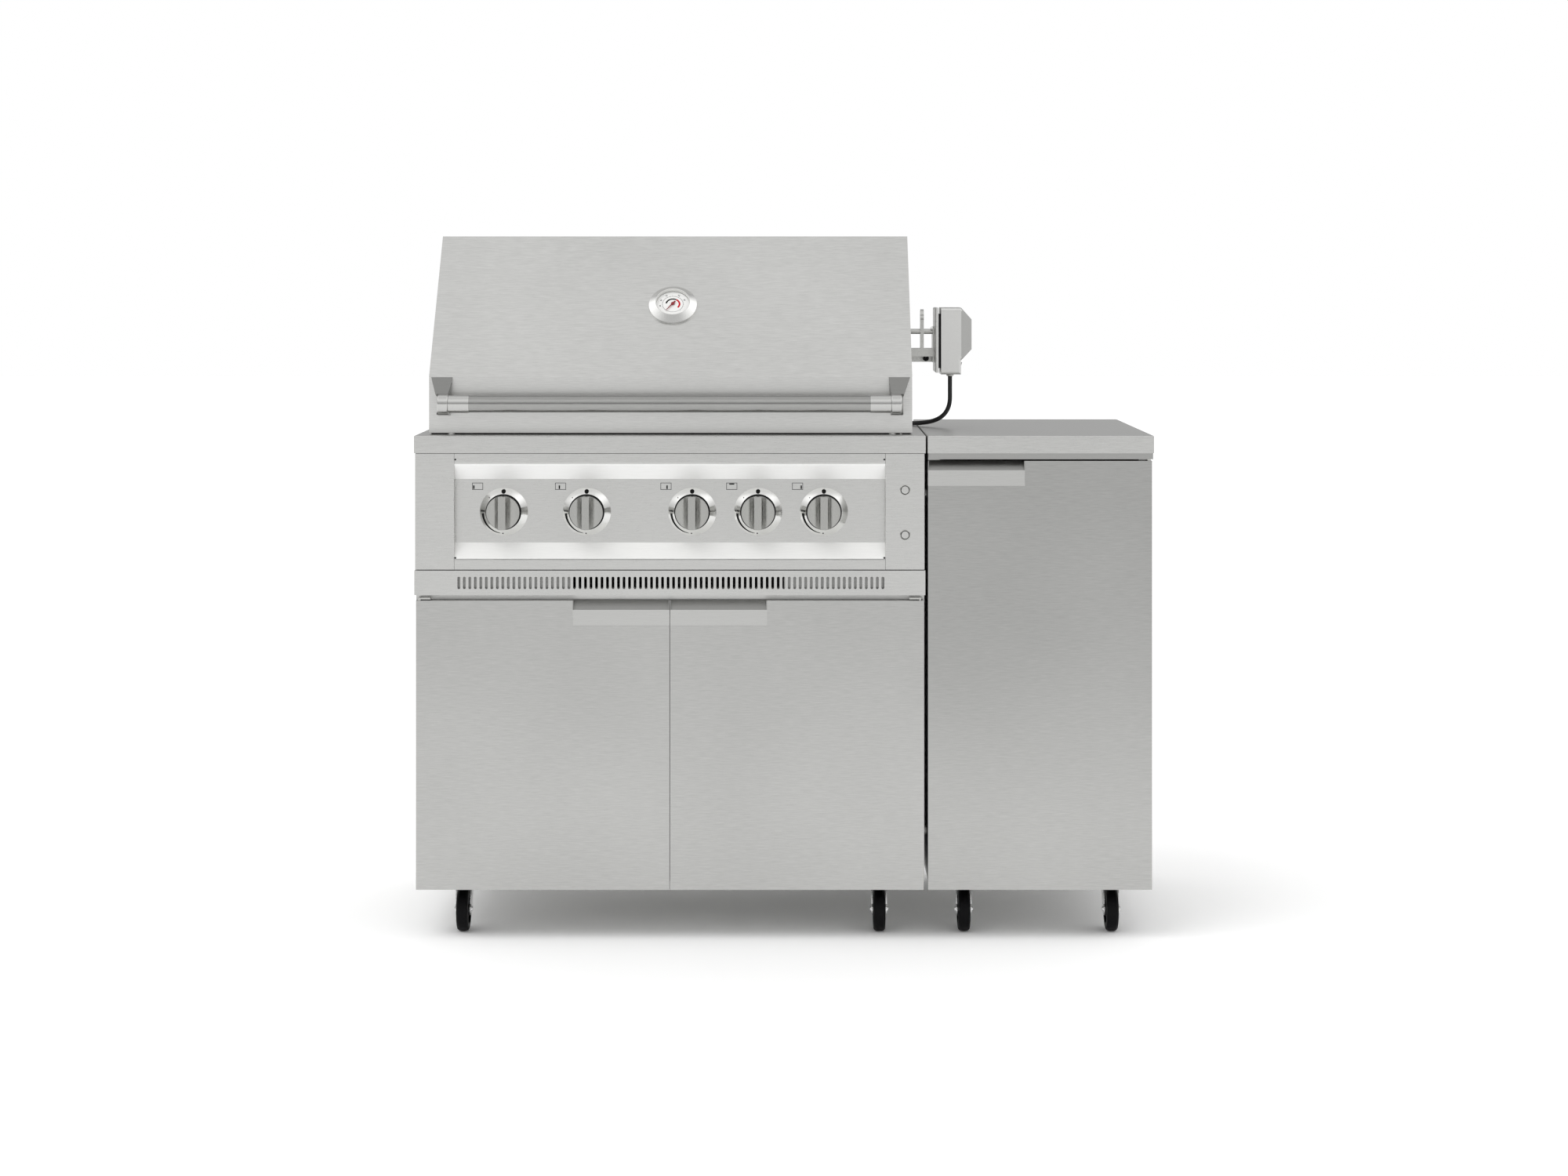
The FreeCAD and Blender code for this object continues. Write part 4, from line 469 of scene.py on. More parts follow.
def turned(shape: bmesh.types.BMesh, centre: Vector, axis: Vector,
           outline: Sequence[tuple[float, float]], sides: int) -> None:
    """Add a closed body of revolution.

    Args:
        shape: the mesh that it goes into.
        centre: a point on the axis, where distances along it start.
        axis: the axis, pointing along the outline.
        outline: pairs of the distance along the axis and the radius, from end to end.
        sides: how many faces go round.
    """
    turn = axis.normalized().to_track_quat("Z", "Y").to_matrix()
    angles = [2 * math.pi * step / sides for step in range(sides)]
    loft(shape, [[centre + turn @ Vector((radius * math.cos(a), radius * math.sin(a), along))
                  for a in angles] for along, radius in outline])


def slab(shape: bmesh.types.BMesh, outline: Sequence[Vector], rise: Vector) -> None:
    """Add a closed flat plate.

    Args:
        shape: the mesh that it goes into.
        outline: the corners of one face, in order.
        rise: from that face to the other.
    """
    loft(shape, [outline, [point + rise for point in outline]])


def scaled(pairs: Sequence[tuple[float, float]], first_unit: float, second_unit: float
           ) -> list[tuple[float, float]]:
    """Turn an outline that is given in shares or in mm to metres.

    Args:
        pairs: the outline.
        first_unit: how long one of the first values is, in metres.
        second_unit: how long one of the second values is, in metres.

    Returns:
        The outline in metres.
    """
    return [(first * first_unit, second * second_unit) for first, second in pairs]


@dataclass
class Photographer:
    """The camera, where the photograph's perspective puts it."""

    distance: float = 5.7
    height: float = 1.221
    lens_mm: float = 71.71
    sensor_mm: float = 36.0
    vertical_shift: float = -0.20225
    sight: float = 60.0

    def build(self) -> None:
        """Set the level camera in front of the worktop's front edge."""
        data = bpy.data.cameras.new("camera")
        data.lens = self.lens_mm
        data.sensor_width = self.sensor_mm
        data.shift_y = self.vertical_shift
        data.clip_end = self.sight
        camera = put("camera", data)
        camera.location = (0.0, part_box("cart_counter")[0].y - self.distance, self.height)
        camera.rotation_euler = (math.radians(90), 0.0, 0.0)
        bpy.context.scene.camera = camera


@dataclass
class Lead:
    """The rotisserie motor's rubber lead, its coil behind the hood and its plug."""

    diameter: float = 8.5 * MM
    length: float = 1.86
    # The lead's bush is in the middle of the motor case's depth, this far from its left end.
    bush_inset: float = 30.85 * MM
    # How far the lead is drawn clear of the worktop.
    lift: float = 0.2 * MM
    # Steps in mm from the bush under the motor.
    hanging: Sequence[tuple[float, float, float]] = (
        (0, 0, 0), (0, 0, -26), (0, 1, -56), (-11.5, 8, -77.5), (-34, 21, -89.5))
    # Places in mm on the worktop from the corner behind the hood's right end.
    lying: Sequence[tuple[float, float]] = (
        (14, -123.5), (9.5, -75.5), (14, -33.5), (12, 2.5), (-8, 29.5), (-42, 38.5), (-84, 28.5))
    # The coil's centre from that corner, and its first half turn's radius.
    coil_inset: float = 176 * MM
    coil_setback: float = 76 * MM
    coil_radius: float = 56 * MM
    coil_pitch: float = 9.2 * MM
    layer_pitch: float = 9.1 * MM
    half_turns_in: int = 4
    points_per_half_turn: int = 8
    # The straight stretches before and after the coil, the first in diameters.
    coil_approach: Sequence[float] = (6, 1)
    coil_tail: float = 25 * MM
    relief_length: float = 26 * MM
    relief_tip: float = 4.4 * MM
    relief_root: float = 6.0 * MM
    rib_count: int = 6
    rib_radius: float = 4.7 * MM
    rib_growth: float = 0.2 * MM
    rib_depth: float = 0.7 * MM
    # Where in its pitch a rib starts and ends, and where the groove after it is.
    rib_start: float = 0.3
    rib_end: float = 0.7
    rib_groove: float = 0.8
    grip_length: float = 38 * MM
    grip_radius: float = 13.0 * MM
    # Shares of the grip's length and radius.
    grip_outline: Sequence[tuple[float, float]] = (
        (0, 0.55), (0.06, 0.75), (0.22, 0.88), (0.5, 0.78), (0.72, 0.9), (0.85, 1), (0.98, 1), (1, 0.94))
    pin_outline_mm: Sequence[tuple[float, float]] = ((0, 2.35), (16, 2.35), (18.4, 1.9), (19, 1.2))
    pin_offset: float = 6.5 * MM
    pin_sink: float = 1 * MM

    def corner(self) -> Vector:
        """Find the corner behind the hood's right end, at the level where the lead lies.

        Returns:
            The corner.
        """
        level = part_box("cart_counter")[1].z + self.diameter / 2 + self.lift
        return Vector((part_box("hood_shell")[1].x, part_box("rear_housing")[1].y, level))

    def coil_start(self) -> Vector:
        """Return the point at the front of the coil, where its first half turn starts."""
        return self.corner() + Vector((-self.coil_inset, self.coil_setback - self.coil_radius, 0))

    def route(self) -> list[Vector]:
        """List the points from the bush to the coil.

        Returns:
            The points, in order.
        """
        low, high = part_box("motor_case")
        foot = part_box("cord_gland")[0].z
        bush = Vector((low.x + self.bush_inset, (low.y + high.y) / 2, foot))
        points = [bush + Vector(step) * MM for step in self.hanging]
        points += [self.corner() + Vector((x, y, 0)) * MM for x, y in self.lying]
        points += [self.coil_start() + RIGHT * share * self.diameter for share in self.coil_approach]
        return points

    def turns(self) -> list[Vector]:
        """List the coil's points: half turns that draw in on one layer and widen on the next.

        Returns:
            The points, in order.
        """
        here = self.coil_start()
        points = [here.copy()]
        way = -1
        for number in range(2 * self.half_turns_in + 1):
            inner = min(number, 2 * self.half_turns_in - number)
            radius = self.coil_radius - self.coil_pitch / 2 * inner
            lift = self.layer_pitch if number == self.half_turns_in else 0.0
            centre = here + Vector((0, -radius * way, 0))
            reach = radius / math.cos(math.pi / self.points_per_half_turn / 2) ** 0.5
            for step in range(1, self.points_per_half_turn + 1):
                angle = math.pi * (step - 0.5) / self.points_per_half_turn
                rise = lift * (1 - math.cos(angle)) / 2
                points.append(centre + Vector((way * reach * math.sin(angle),
                                               way * reach * math.cos(angle), rise)))
            here = here + Vector((0, -2 * radius * way, lift))
            way = -way
        points.append(here + Vector((way * self.coil_tail, 0, 0)))
        return points

    def relief(self, start: Vector) -> bpy.types.Object:
        """Make the ribbed sleeve between the lead and the grip.

        Args:
            start: where the lead meets the plug.

        Returns:
            The sleeve.
        """
        pitch = self.relief_length / self.rib_count
        outline = [(0.0, self.relief_tip)]
        for rib in range(self.rib_count):
            radius = self.rib_radius + self.rib_growth * rib
            outline += [(pitch * (rib + self.rib_start), radius), (pitch * (rib + self.rib_end), radius),
                        (pitch * (rib + self.rib_groove), radius - self.rib_depth)]
        outline.append((self.relief_length, self.relief_root))
        shape = bmesh.new()
        turned(shape, start, RIGHT, outline, sides=28)
        return finish_piece(shape, "plug_relief", SLEEVE, ISLAND, smooth=True)

    def grip(self, start: Vector) -> bpy.types.Object:
        """Make the waisted grip.

        Args:
            start: where the lead meets the plug.

        Returns:
            The grip.
        """
        shape = bmesh.new()
        turned(shape, start + RIGHT * self.relief_length, RIGHT,
               scaled(self.grip_outline, self.grip_length, self.grip_radius), sides=36)
        return finish_piece(shape, "plug_grip", NYLON_AND_GAP_SHADE, ISLAND, smooth=True)

    def pins(self, start: Vector) -> bpy.types.Object:
        """Make the two round pins.

        Args:
            start: where the lead meets the plug.

        Returns:
            Both pins as one piece.
        """
        shape = bmesh.new()
        along = self.relief_length + self.grip_length - self.pin_sink
        for side in (-1, 1):
            turned(shape, start + Vector((along, side * self.pin_offset, 0)), RIGHT,
                   scaled(self.pin_outline_mm, MM, MM), sides=20)
        return finish_piece(shape, "plug_pins", BRASS, ISLAND, smooth=True)

    def build(self) -> None:
        data = bpy.data.curves.new("motor_lead", "CURVE")
        data.dimensions = "3D"
        data.bevel_depth = self.diameter / 2
        data.bevel_resolution = 5
        data.resolution_u = 8
        data.use_fill_caps = True
        data.materials.append(Shop.material(SLEEVE))
        points = self.route() + self.turns()
        spline = data.splines.new("NURBS")
        spline.points.add(len(points) - 1)
        for control, point in zip(spline.points, points):
            control.co = (*point, 1.0)
        spline.order_u = 3
        spline.use_endpoint_u = True
        lead = put("motor_lead", data)
        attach(lead, ISLAND)
        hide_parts("motor_cord", "cord_coil")
        relief = self.relief(points[-1])
        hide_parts("cord_plug")
        plug = [relief, self.grip(points[-1]), self.pins(points[-1])]
        LOG.info("lead with %d points", len(points))


@dataclass
class Studio:
    """The pale floor, the soft surroundings and the sun-like key light."""

    floor_half: float = 30.0
    floor_gauge: float = 0.02
    paper: str = "#FAFAFA"
    shown_paper: float = 1.14
    ambient: float = 0.89
    key_strength: float = 0.56
    key_angle: float = 38.0
    key_from: tuple[float, float, float] = (-0.55, -0.42, 1.0)
    # Sine of the elevation, and how bright the surroundings are there for a reflection.
    heights: Sequence[tuple[float, float]] = (
        (-1.0, 1.05), (-0.02, 1.05), (0.02, 0.50), (0.12, 0.50), (0.34, 0.70), (0.66, 1.24),
        (0.87, 1.10), (0.95, 0.96), (1.0, 0.96))
    # How much brighter that is to the sides, from one part of the direction along X to the other.
    side_gain: float = 1.30
    side_range: tuple[float, float] = (0.35, 0.85)
    # How much darker it is high up at the back, with the direction's parts along Y and along Z.
    rear_loss: float = 0.75
    rear_range: tuple[float, float] = (0.3, 0.7)
    rear_heights: tuple[float, float] = (0.25, 0.42)

    def floor(self) -> None:
        """Lay the floor. It is white where it is seen or mirrored, and keeps the shadows."""
        shape = bmesh.new()
        half = self.floor_half
        slab(shape, [Vector((x, y, -self.floor_gauge)) for x, y in
                     ((-half, -half), (half, -half), (half, half), (-half, half))],
             UP * self.floor_gauge)
        mesh = bpy.data.meshes.new("studio_floor")
        shape.to_mesh(mesh)
        shape.free()
        floor = put("studio_floor", mesh)
        material = empty_material("studio_paper")
        tree = material.node_tree
        lit = add_node(tree, "ShaderNodeBsdfDiffuse", {"Color": linear(self.paper)})
        shown = add_node(tree, "ShaderNodeBsdfDiffuse", {"Color": grey(self.shown_paper)})
        rays = add_node(tree, "ShaderNodeLightPath")
        seen = add_node(tree, "ShaderNodeMath", {0: rays.outputs["Is Camera Ray"],
                                                 1: rays.outputs["Is Glossy Ray"]}, operation="MAXIMUM")
        both = add_node(tree, "ShaderNodeMixShader", {0: seen.outputs[0], 1: lit.outputs[0],
                                                      2: shown.outputs[0]})
        add_node(tree, "ShaderNodeOutputMaterial", {"Surface": both.outputs[0]})
        mesh.materials.append(material)

    def mirrored(self, tree: bpy.types.NodeTree) -> bpy.types.NodeSocket:
        """Make what a reflection sees: a soft room, brighter at the sides and dark at the back.

        Args:
            tree: the world's node tree.

        Returns:
            The background's shader.
        """
        way = add_node(tree, "ShaderNodeTexCoord").outputs["Generated"]
        split = add_node(tree, "ShaderNodeSeparateXYZ", {0: way})
        height = add_node(tree, "ShaderNodeMapRange", {"Value": split.outputs["Z"], "From Min": -1.0,
                                                       "From Max": 1.0})
        ramp = add_node(tree, "ShaderNodeValToRGB", {"Fac": height.outputs[0]})
        knots = ramp.color_ramp.elements
        knots[0].color = grey(self.heights[0][1])
        knots[1].color = grey(self.heights[-1][1])
        for sine, level in self.heights[1:-1]:
            knots.new((sine + 1) / 2).color = grey(level)
        aside = add_node(tree, "ShaderNodeMath", {0: split.outputs["X"]}, operation="ABSOLUTE")
        side = add_node(tree, "ShaderNodeMapRange", {
            "Value": aside.outputs[0], "From Min": self.side_range[0], "From Max": self.side_range[1],
            "To Min": 1.0, "To Max": self.side_gain})
        behind = add_node(tree, "ShaderNodeMapRange", {
            "Value": split.outputs["Y"], "From Min": self.rear_range[0],
            "From Max": self.rear_range[1]})
        above = add_node(tree, "ShaderNodeMapRange", {
            "Value": split.outputs["Z"], "From Min": self.rear_heights[0],
            "From Max": self.rear_heights[1], "To Max": -self.rear_loss})
        rear = add_node(tree, "ShaderNodeMath", {0: behind.outputs[0], 1: above.outputs[0], 2: 1.0},
                        operation="MULTIPLY_ADD")
        gain = add_node(tree, "ShaderNodeMath", {0: side.outputs[0], 1: rear.outputs[0]},
                        operation="MULTIPLY")
        room = add_node(tree, "ShaderNodeBackground", {"Color": ramp.outputs["Color"],
                                                       "Strength": gain.outputs[0]})
        return room.outputs[0]

    def surroundings(self) -> None:
        """Make the world white where it is seen, plain where it lights, and a room in reflections."""
        world = bpy.data.worlds.new("studio")
        bpy.context.scene.world = world
        world.use_nodes = True
        tree = world.node_tree
        tree.nodes.clear()
        rays = add_node(tree, "ShaderNodeLightPath")
        light = add_node(tree, "ShaderNodeBackground", {"Color": grey(1.0), "Strength": self.ambient})
        shown = add_node(tree, "ShaderNodeBackground", {"Color": grey(1.0), "Strength": 1.0})
        gloss = add_node(tree, "ShaderNodeMixShader", {0: rays.outputs["Is Glossy Ray"],
                                                       1: light.outputs[0], 2: self.mirrored(tree)})
        final = add_node(tree, "ShaderNodeMixShader", {0: rays.outputs["Is Camera Ray"],
                                                       1: gloss.outputs[0], 2: shown.outputs[0]})
        add_node(tree, "ShaderNodeOutputWorld", {"Surface": final.outputs[0]})

    def key(self) -> None:
        """Hang the key light high on the left, broad enough for a soft shadow and not mirrored."""
        data = bpy.data.lights.new("key_light", "SUN")
        data.energy = self.key_strength
        data.angle = math.radians(self.key_angle)
        lamp = put("key_light", data)
        lamp.rotation_mode = "QUATERNION"
        lamp.rotation_quaternion = (-Vector(self.key_from)).to_track_quat("-Z", "Y")
        lamp.visible_glossy = False

    def build(self) -> None:
        """Set up the whole studio."""
        self.floor()
        self.surroundings()
        self.key()
        LOG.info("studio set")


@dataclass
class Cabinets:
    """The two cabinets, their doors and their worktops."""

    sheets: Sequence[str] = ("cart_shell", "side_shell", "drip_tray", "rear_housing")
    fronts: Sequence[str] = ("control_stiles", "vent_panel", "control_panel")
    doors: Sequence[str] = ("door_left", "door_right")
    pulls: Sequence[str] = ("door_left_pull", "door_right_pull", "side_door_pull")
    tops: Sequence[str] = ("cart_counter", "side_counter")
    pull_mouth: float = 17 * MM
    # The side worktop's hem is as deep as this at its front edge.
    hem_depth: float = 3.5 * MM
    # How far the bare rail reaches behind the doors and behind the vent panel.
    rail_laps: tuple[float, float] = (8 * MM, 12 * MM)
    fold_strip: float = 20 * MM
    fold_rise: float = 28 * MM
    relief_radius: float = 1.7 * MM
    relief_gauge: float = 0.15 * MM
    relief_inset: float = 1.8 * MM
    relief_levels: Sequence[float] = (21.5 * MM, 201.0 * MM)
    baffle_gap: float = 7 * MM
    baffle_gauge: float = 1.2 * MM
    baffle_margin: float = 2 * MM
    # Where each baffle starts and ends, from the vent panel's left end.
    baffle_spans: Sequence[tuple[float, float]] = ((79 * MM, 284 * MM), (675 * MM, 857 * MM))

    def build(self) -> None:
        """Dress the sheets, paint shade into the folds' relief holes and add the vent's baffles."""
        for node in self.sheets:
            dress(node, SHEET)
        for node in self.fronts:
            dress(node, PANEL_SHEET)
        for node in self.doors:
            dress(node, DOOR_SHEET)
        # Painted shade: the side door's copy is darker, most of all near the worktop.
        dress("side_door", SIDE_DOOR_SHEET)
        dress("door_pivots", ROD)
        self.scoops()
        self.worktops()
        self.rail()
        self.folds()
        self.relief_holes()
        self.baffles()

    def scoops(self) -> None:
        """Dress each pull, with painted shade in the scoop above its plate."""
        for node in self.pulls:
            dress(node, PLATE_SHEET)
            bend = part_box(node)[1].z - self.pull_mouth
            # Painted shade: the scoop gets a darker copy of the sheet.
            dress_part(node, SCOOP_SHADE_SHEET, lambda c, bend=bend: c.z > bend + SKIN)

    def worktops(self) -> None:
        """Dress each worktop and its front edge, and paint shade on the side worktop's hem."""
        for node in self.tops:
            dress(node, TOP_SHEET)
            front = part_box(node)[0].y
            dress_part(node, PANEL_SHEET, lambda c, front=front: c.y < front + SKIN)
        hem_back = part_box("side_counter")[0].y + self.hem_depth
        hem_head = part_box("cart_counter")[0].z
        # Painted shade: the hem gets a darker copy of the sheet.
        dress_part("side_counter", HEM_SHADE_SHEET, lambda c: c.z < hem_head and c.y < hem_back)

    def rail(self) -> None:
        """Dress the rail that shows in the gap above the doors, with a paler copy of the sheet as
        painted light.
        """
        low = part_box("door_left")[1].z - self.rail_laps[0]
        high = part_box("vent_panel")[0].z + self.rail_laps[1]
        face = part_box("vent_panel")[1].y
        # Painted light: the rail in the shaded gap gets a paler copy of the sheet.
        dress_part("cart_shell", RAIL_LIGHT_SHEET, lambda c: low < c.z < high and abs(c.y - face) < SKIN)

    def folds(self) -> None:
        """Paint the reflections on the control panel's upper and lower fold with a pale, half matt
        sheet.
        """
        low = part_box("control_panel")[0]
        shallow = low.y + SKIN
        foot = low.z + self.fold_strip
        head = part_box("cart_counter")[0].z - self.fold_strip
        # Painted reflection: the folds are made pale and half matt.
        dress_part("control_panel", UPPER_FOLD_REFLECTION,
                   lambda c: c.y > shallow and head - self.fold_rise + SKIN < c.z < head)
        dress_part("control_panel", LOWER_FOLD_REFLECTION,
                   lambda c: c.y > shallow and foot < c.z < foot + self.fold_rise - SKIN)

    def relief_holes(self) -> None:
        """Paint black discs of shade where the small round relief holes at the folds' ends show dark."""
        low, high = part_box("control_panel")
        shape = bmesh.new()
        for x in (low.x + self.relief_inset, high.x - self.relief_inset):
            for level in self.relief_levels:
                turned(shape, Vector((x, low.y, low.z + level)), TO_FRONT,
                       [(0.0, self.relief_radius), (self.relief_gauge, self.relief_radius)],
                       sides=16)
        # Painted shade: black discs stand in for the dark relief holes.
        holes = finish_piece(shape, "fold_relief_hole_shade", BLACK_INK_AND_HOLE_SHADE, ISLAND)

    def baffles(self) -> None:
        """Put the baffles behind the vent slots."""
        low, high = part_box("vent_panel")
        y = low.y + self.baffle_gap
        foot = low.z + self.baffle_margin
        head = high.z - self.baffle_margin
        shape = bmesh.new()
        for start, end in self.baffle_spans:
            left = low.x + start
            right = low.x + end
            slab(shape, [Vector((left, y, foot)), Vector((right, y, foot)), Vector((right, y, head)),
                         Vector((left, y, head))], -TO_FRONT * self.baffle_gauge)
        baffles = finish_piece(shape, "vent_baffles", BAFFLE, ISLAND)


@dataclass
class Controls:
    """The knobs, their marked bezels, the burner pictograms and the push buttons."""

    bezel_outer: float = 44 * MM
    bezel_inner: float = 32.8 * MM
    bezel_height: float = 10 * MM
    bezel_well: float = 32.5 * MM
    button_gap: float = 8.1 * MM
    print_foot: float = 0.02 * MM
    print_gauge: float = 0.2 * MM
    # Round marks on a bezel: degrees from the right, then mm from its axis and the mark's radius.
    dots: Sequence[tuple[float, float, float]] = ((90, 37.5, 4.0), (135, 37.0, 0.9), (268, 39.5, 1.2))
    dot_steps: int = 14
    # Half a round mark's width at its first and last step, in mm.
    dot_tip: float = 0.02
    # The short bars before the flame track: degrees, and mm from the bezel's axis.
    bar_angles: tuple[float, float] = (175.0, 179.5)
    bar_radii: Sequence[float] = (34.6, 37.3, 40.0)
    bar_length: float = 2.0
    # The flame track narrows from its first angle to its last: mm from the axis, and half widths.
    track_angles: tuple[float, float] = (184, 261)
    track_radii: tuple[float, float] = (38.3, 39.5)
    track_halves: tuple[float, float] = (2.05, 0.15)
    track_taper: float = 0.7
    track_steps: int = 20
    sign_width: float = 20 * MM
    sign_height: float = 13 * MM
    sign_line: float = 1.0 * MM
    # From the knob's axis to the sign's middle.
    sign_offset: tuple[float, float] = (-48.2 * MM, 46.5 * MM)
    # The lit burner in each knob's sign: its middle, width and height, in mm.
    sign_bars: Sequence[tuple[float, float, float, float]] = (
        (-7.0, -1.6, 2.6, 6.6), (-2.3, -1.6, 2.6, 6.6), (2.0, -1.6, 2.6, 6.6), (0.0, 4.1, 9.4, 2.2),
        (6.8, -1.6, 2.5, 6.5))

    def print_strip(self, shape: bmesh.types.BMesh, centre: Vector,
                    edges: Sequence[tuple[float, float, float]]) -> None:
        """Add one printed stretch on a bezel's slope.

        Args:
            shape: the mesh that it goes into.
            centre: the bezel's centre in the plane of its foot.
            edges: for each step, its angle anticlockwise from the right and its two radii in mm.
        """
        slope = self.bezel_height / (self.bezel_outer - self.bezel_inner)
        rings = []
        for angle, inner, outer in edges:
            ring = []
            for radius_mm, lift in ((inner, self.print_foot), (outer, self.print_foot),
                                    (outer, self.print_gauge), (inner, self.print_gauge)):
                radius = radius_mm * MM
                stand = (self.bezel_outer - radius) * slope + lift
                ring.append(centre + Vector((radius * math.cos(angle), -stand,
                                             radius * math.sin(angle))))
            rings.append(ring)
        loft(shape, rings)

    def dot_edges(self, degrees: float, radius: float, size: float) -> list[tuple[float, float, float]]:
        """Work out a round mark's edges.

        Args:
            degrees: where its middle is, anticlockwise from the right.
            radius: how far its middle is from the bezel's axis, in mm.
            size: its own radius, in mm.

        Returns:
            Its angle and its two radii, for each step across it.
        """
        edges = []
        for step in range(self.dot_steps + 1):
            across = -math.cos(math.pi * step / self.dot_steps) * size
            half = math.sqrt(max(size ** 2 - across ** 2, self.dot_tip ** 2))
            edges.append((math.radians(degrees) + across / radius, radius - half, radius + half))
        return edges

    def track_edges(self) -> list[tuple[float, float, float]]:
        """Work out the edges of the flame track, which tapers to a point.

        Returns:
            Its angle and its two radii, for each step along it.
        """
        edges = []
        wide, thin = self.track_halves
        start, end = self.track_angles
        near, far = self.track_radii
        for step in range(self.track_steps + 1):
            share = step / self.track_steps
            half = (wide - thin) * (1 - share) ** self.track_taper + thin
            middle = near + (far - near) * share
            edges.append((math.radians(start + (end - start) * share), middle - half, middle + half))
        return edges

    def marks(self, number: int) -> None:
        """Print the off dot, the small dots and bars, and the flame track of one bezel.

        Args:
            number: the knob's number, from the left.
        """
        low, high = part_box("knob_%d" % number)
        centre = Vector(((low.x + high.x) / 2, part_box("knob_bezels")[1].y, (low.z + high.z) / 2))
        shape = bmesh.new()
        for degrees, radius, size in self.dots:
            self.print_strip(shape, centre, self.dot_edges(degrees, radius, size))
        for inner in self.bar_radii:
            self.print_strip(shape, centre, [(math.radians(angle), inner, inner + self.bar_length)
                                             for angle in self.bar_angles])
        self.print_strip(shape, centre, self.track_edges())
        marks = finish_piece(shape, "bezel_marks_%d" % number, BLACK_INK_AND_HOLE_SHADE, ISLAND)

    def sign(self, number: int) -> None:
        """Print the small burner map above the left of one knob.

        Args:
            number: the knob's number, from the left.
        """
        low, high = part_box("knob_%d" % number)
        middle = Vector(((low.x + high.x) / 2 + self.sign_offset[0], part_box("knob_bezels")[1].y,
                         (low.z + high.z) / 2 + self.sign_offset[1]))

        def block(shape: bmesh.types.BMesh, left: float, foot: float, right: float,
                  head: float) -> None:
            """Print an upright rectangle, whose edges are given from the sign's middle."""
            slab(shape, [middle + Vector((x, 0, z)) for x, z in
                         ((left, foot), (right, foot), (right, head), (left, head))],
                 TO_FRONT * self.print_gauge)

        side = self.sign_width / 2
        top = self.sign_height / 2
        line = self.sign_line
        shape = bmesh.new()
        block(shape, -side, -top, side, line - top)
        block(shape, -side, top - line, side, top)
        block(shape, -side, line - top, line - side, top - line)
        block(shape, side - line, line - top, side, top - line)
        outline = finish_piece(shape, "burner_map_%d" % number, LINE_INK, ISLAND)
        x, z, width, height = (value * MM for value in self.sign_bars[number - 1])
        shape = bmesh.new()
        block(shape, x - width / 2, z - height / 2, x + width / 2, z + height / 2)
        bar = finish_piece(shape, "burner_map_bar_%d" % number, BLACK_INK_AND_HOLE_SHADE, ISLAND)

    def shade_well(self, ring: str, control: str, radius: float) -> None:
        """Blacken the inside of a ring round a knob or a button: painted shade in the gap round it.

        Args:
            ring: the rings' solid.
            control: the knob or button in the middle of the ring.
            radius: how far the dark inside reaches.
        """
        low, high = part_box(control)
        middle = (low + high) / 2
        # Painted shade: the ring's inside goes black.
        dress_part(ring, NYLON_AND_GAP_SHADE, lambda c: math.hypot(c.x - middle.x, c.z - middle.z) < radius)

    def build(self) -> None:
        """Dress the controls and print their marks."""
        dress("knob_bezels", TRIM)
        dress("button_rings", TRIM)
        for node in ("button_upper", "button_lower"):
            dress(node, PANEL_SHEET)
            self.shade_well("button_rings", node, self.button_gap)
        for number in range(1, len(self.sign_bars) + 1):
            knob = "knob_%d" % number
            dress(knob, KNOB_CAST)
            self.shade_well("knob_bezels", knob, self.bezel_well)
            self.marks(number)
            self.sign(number)


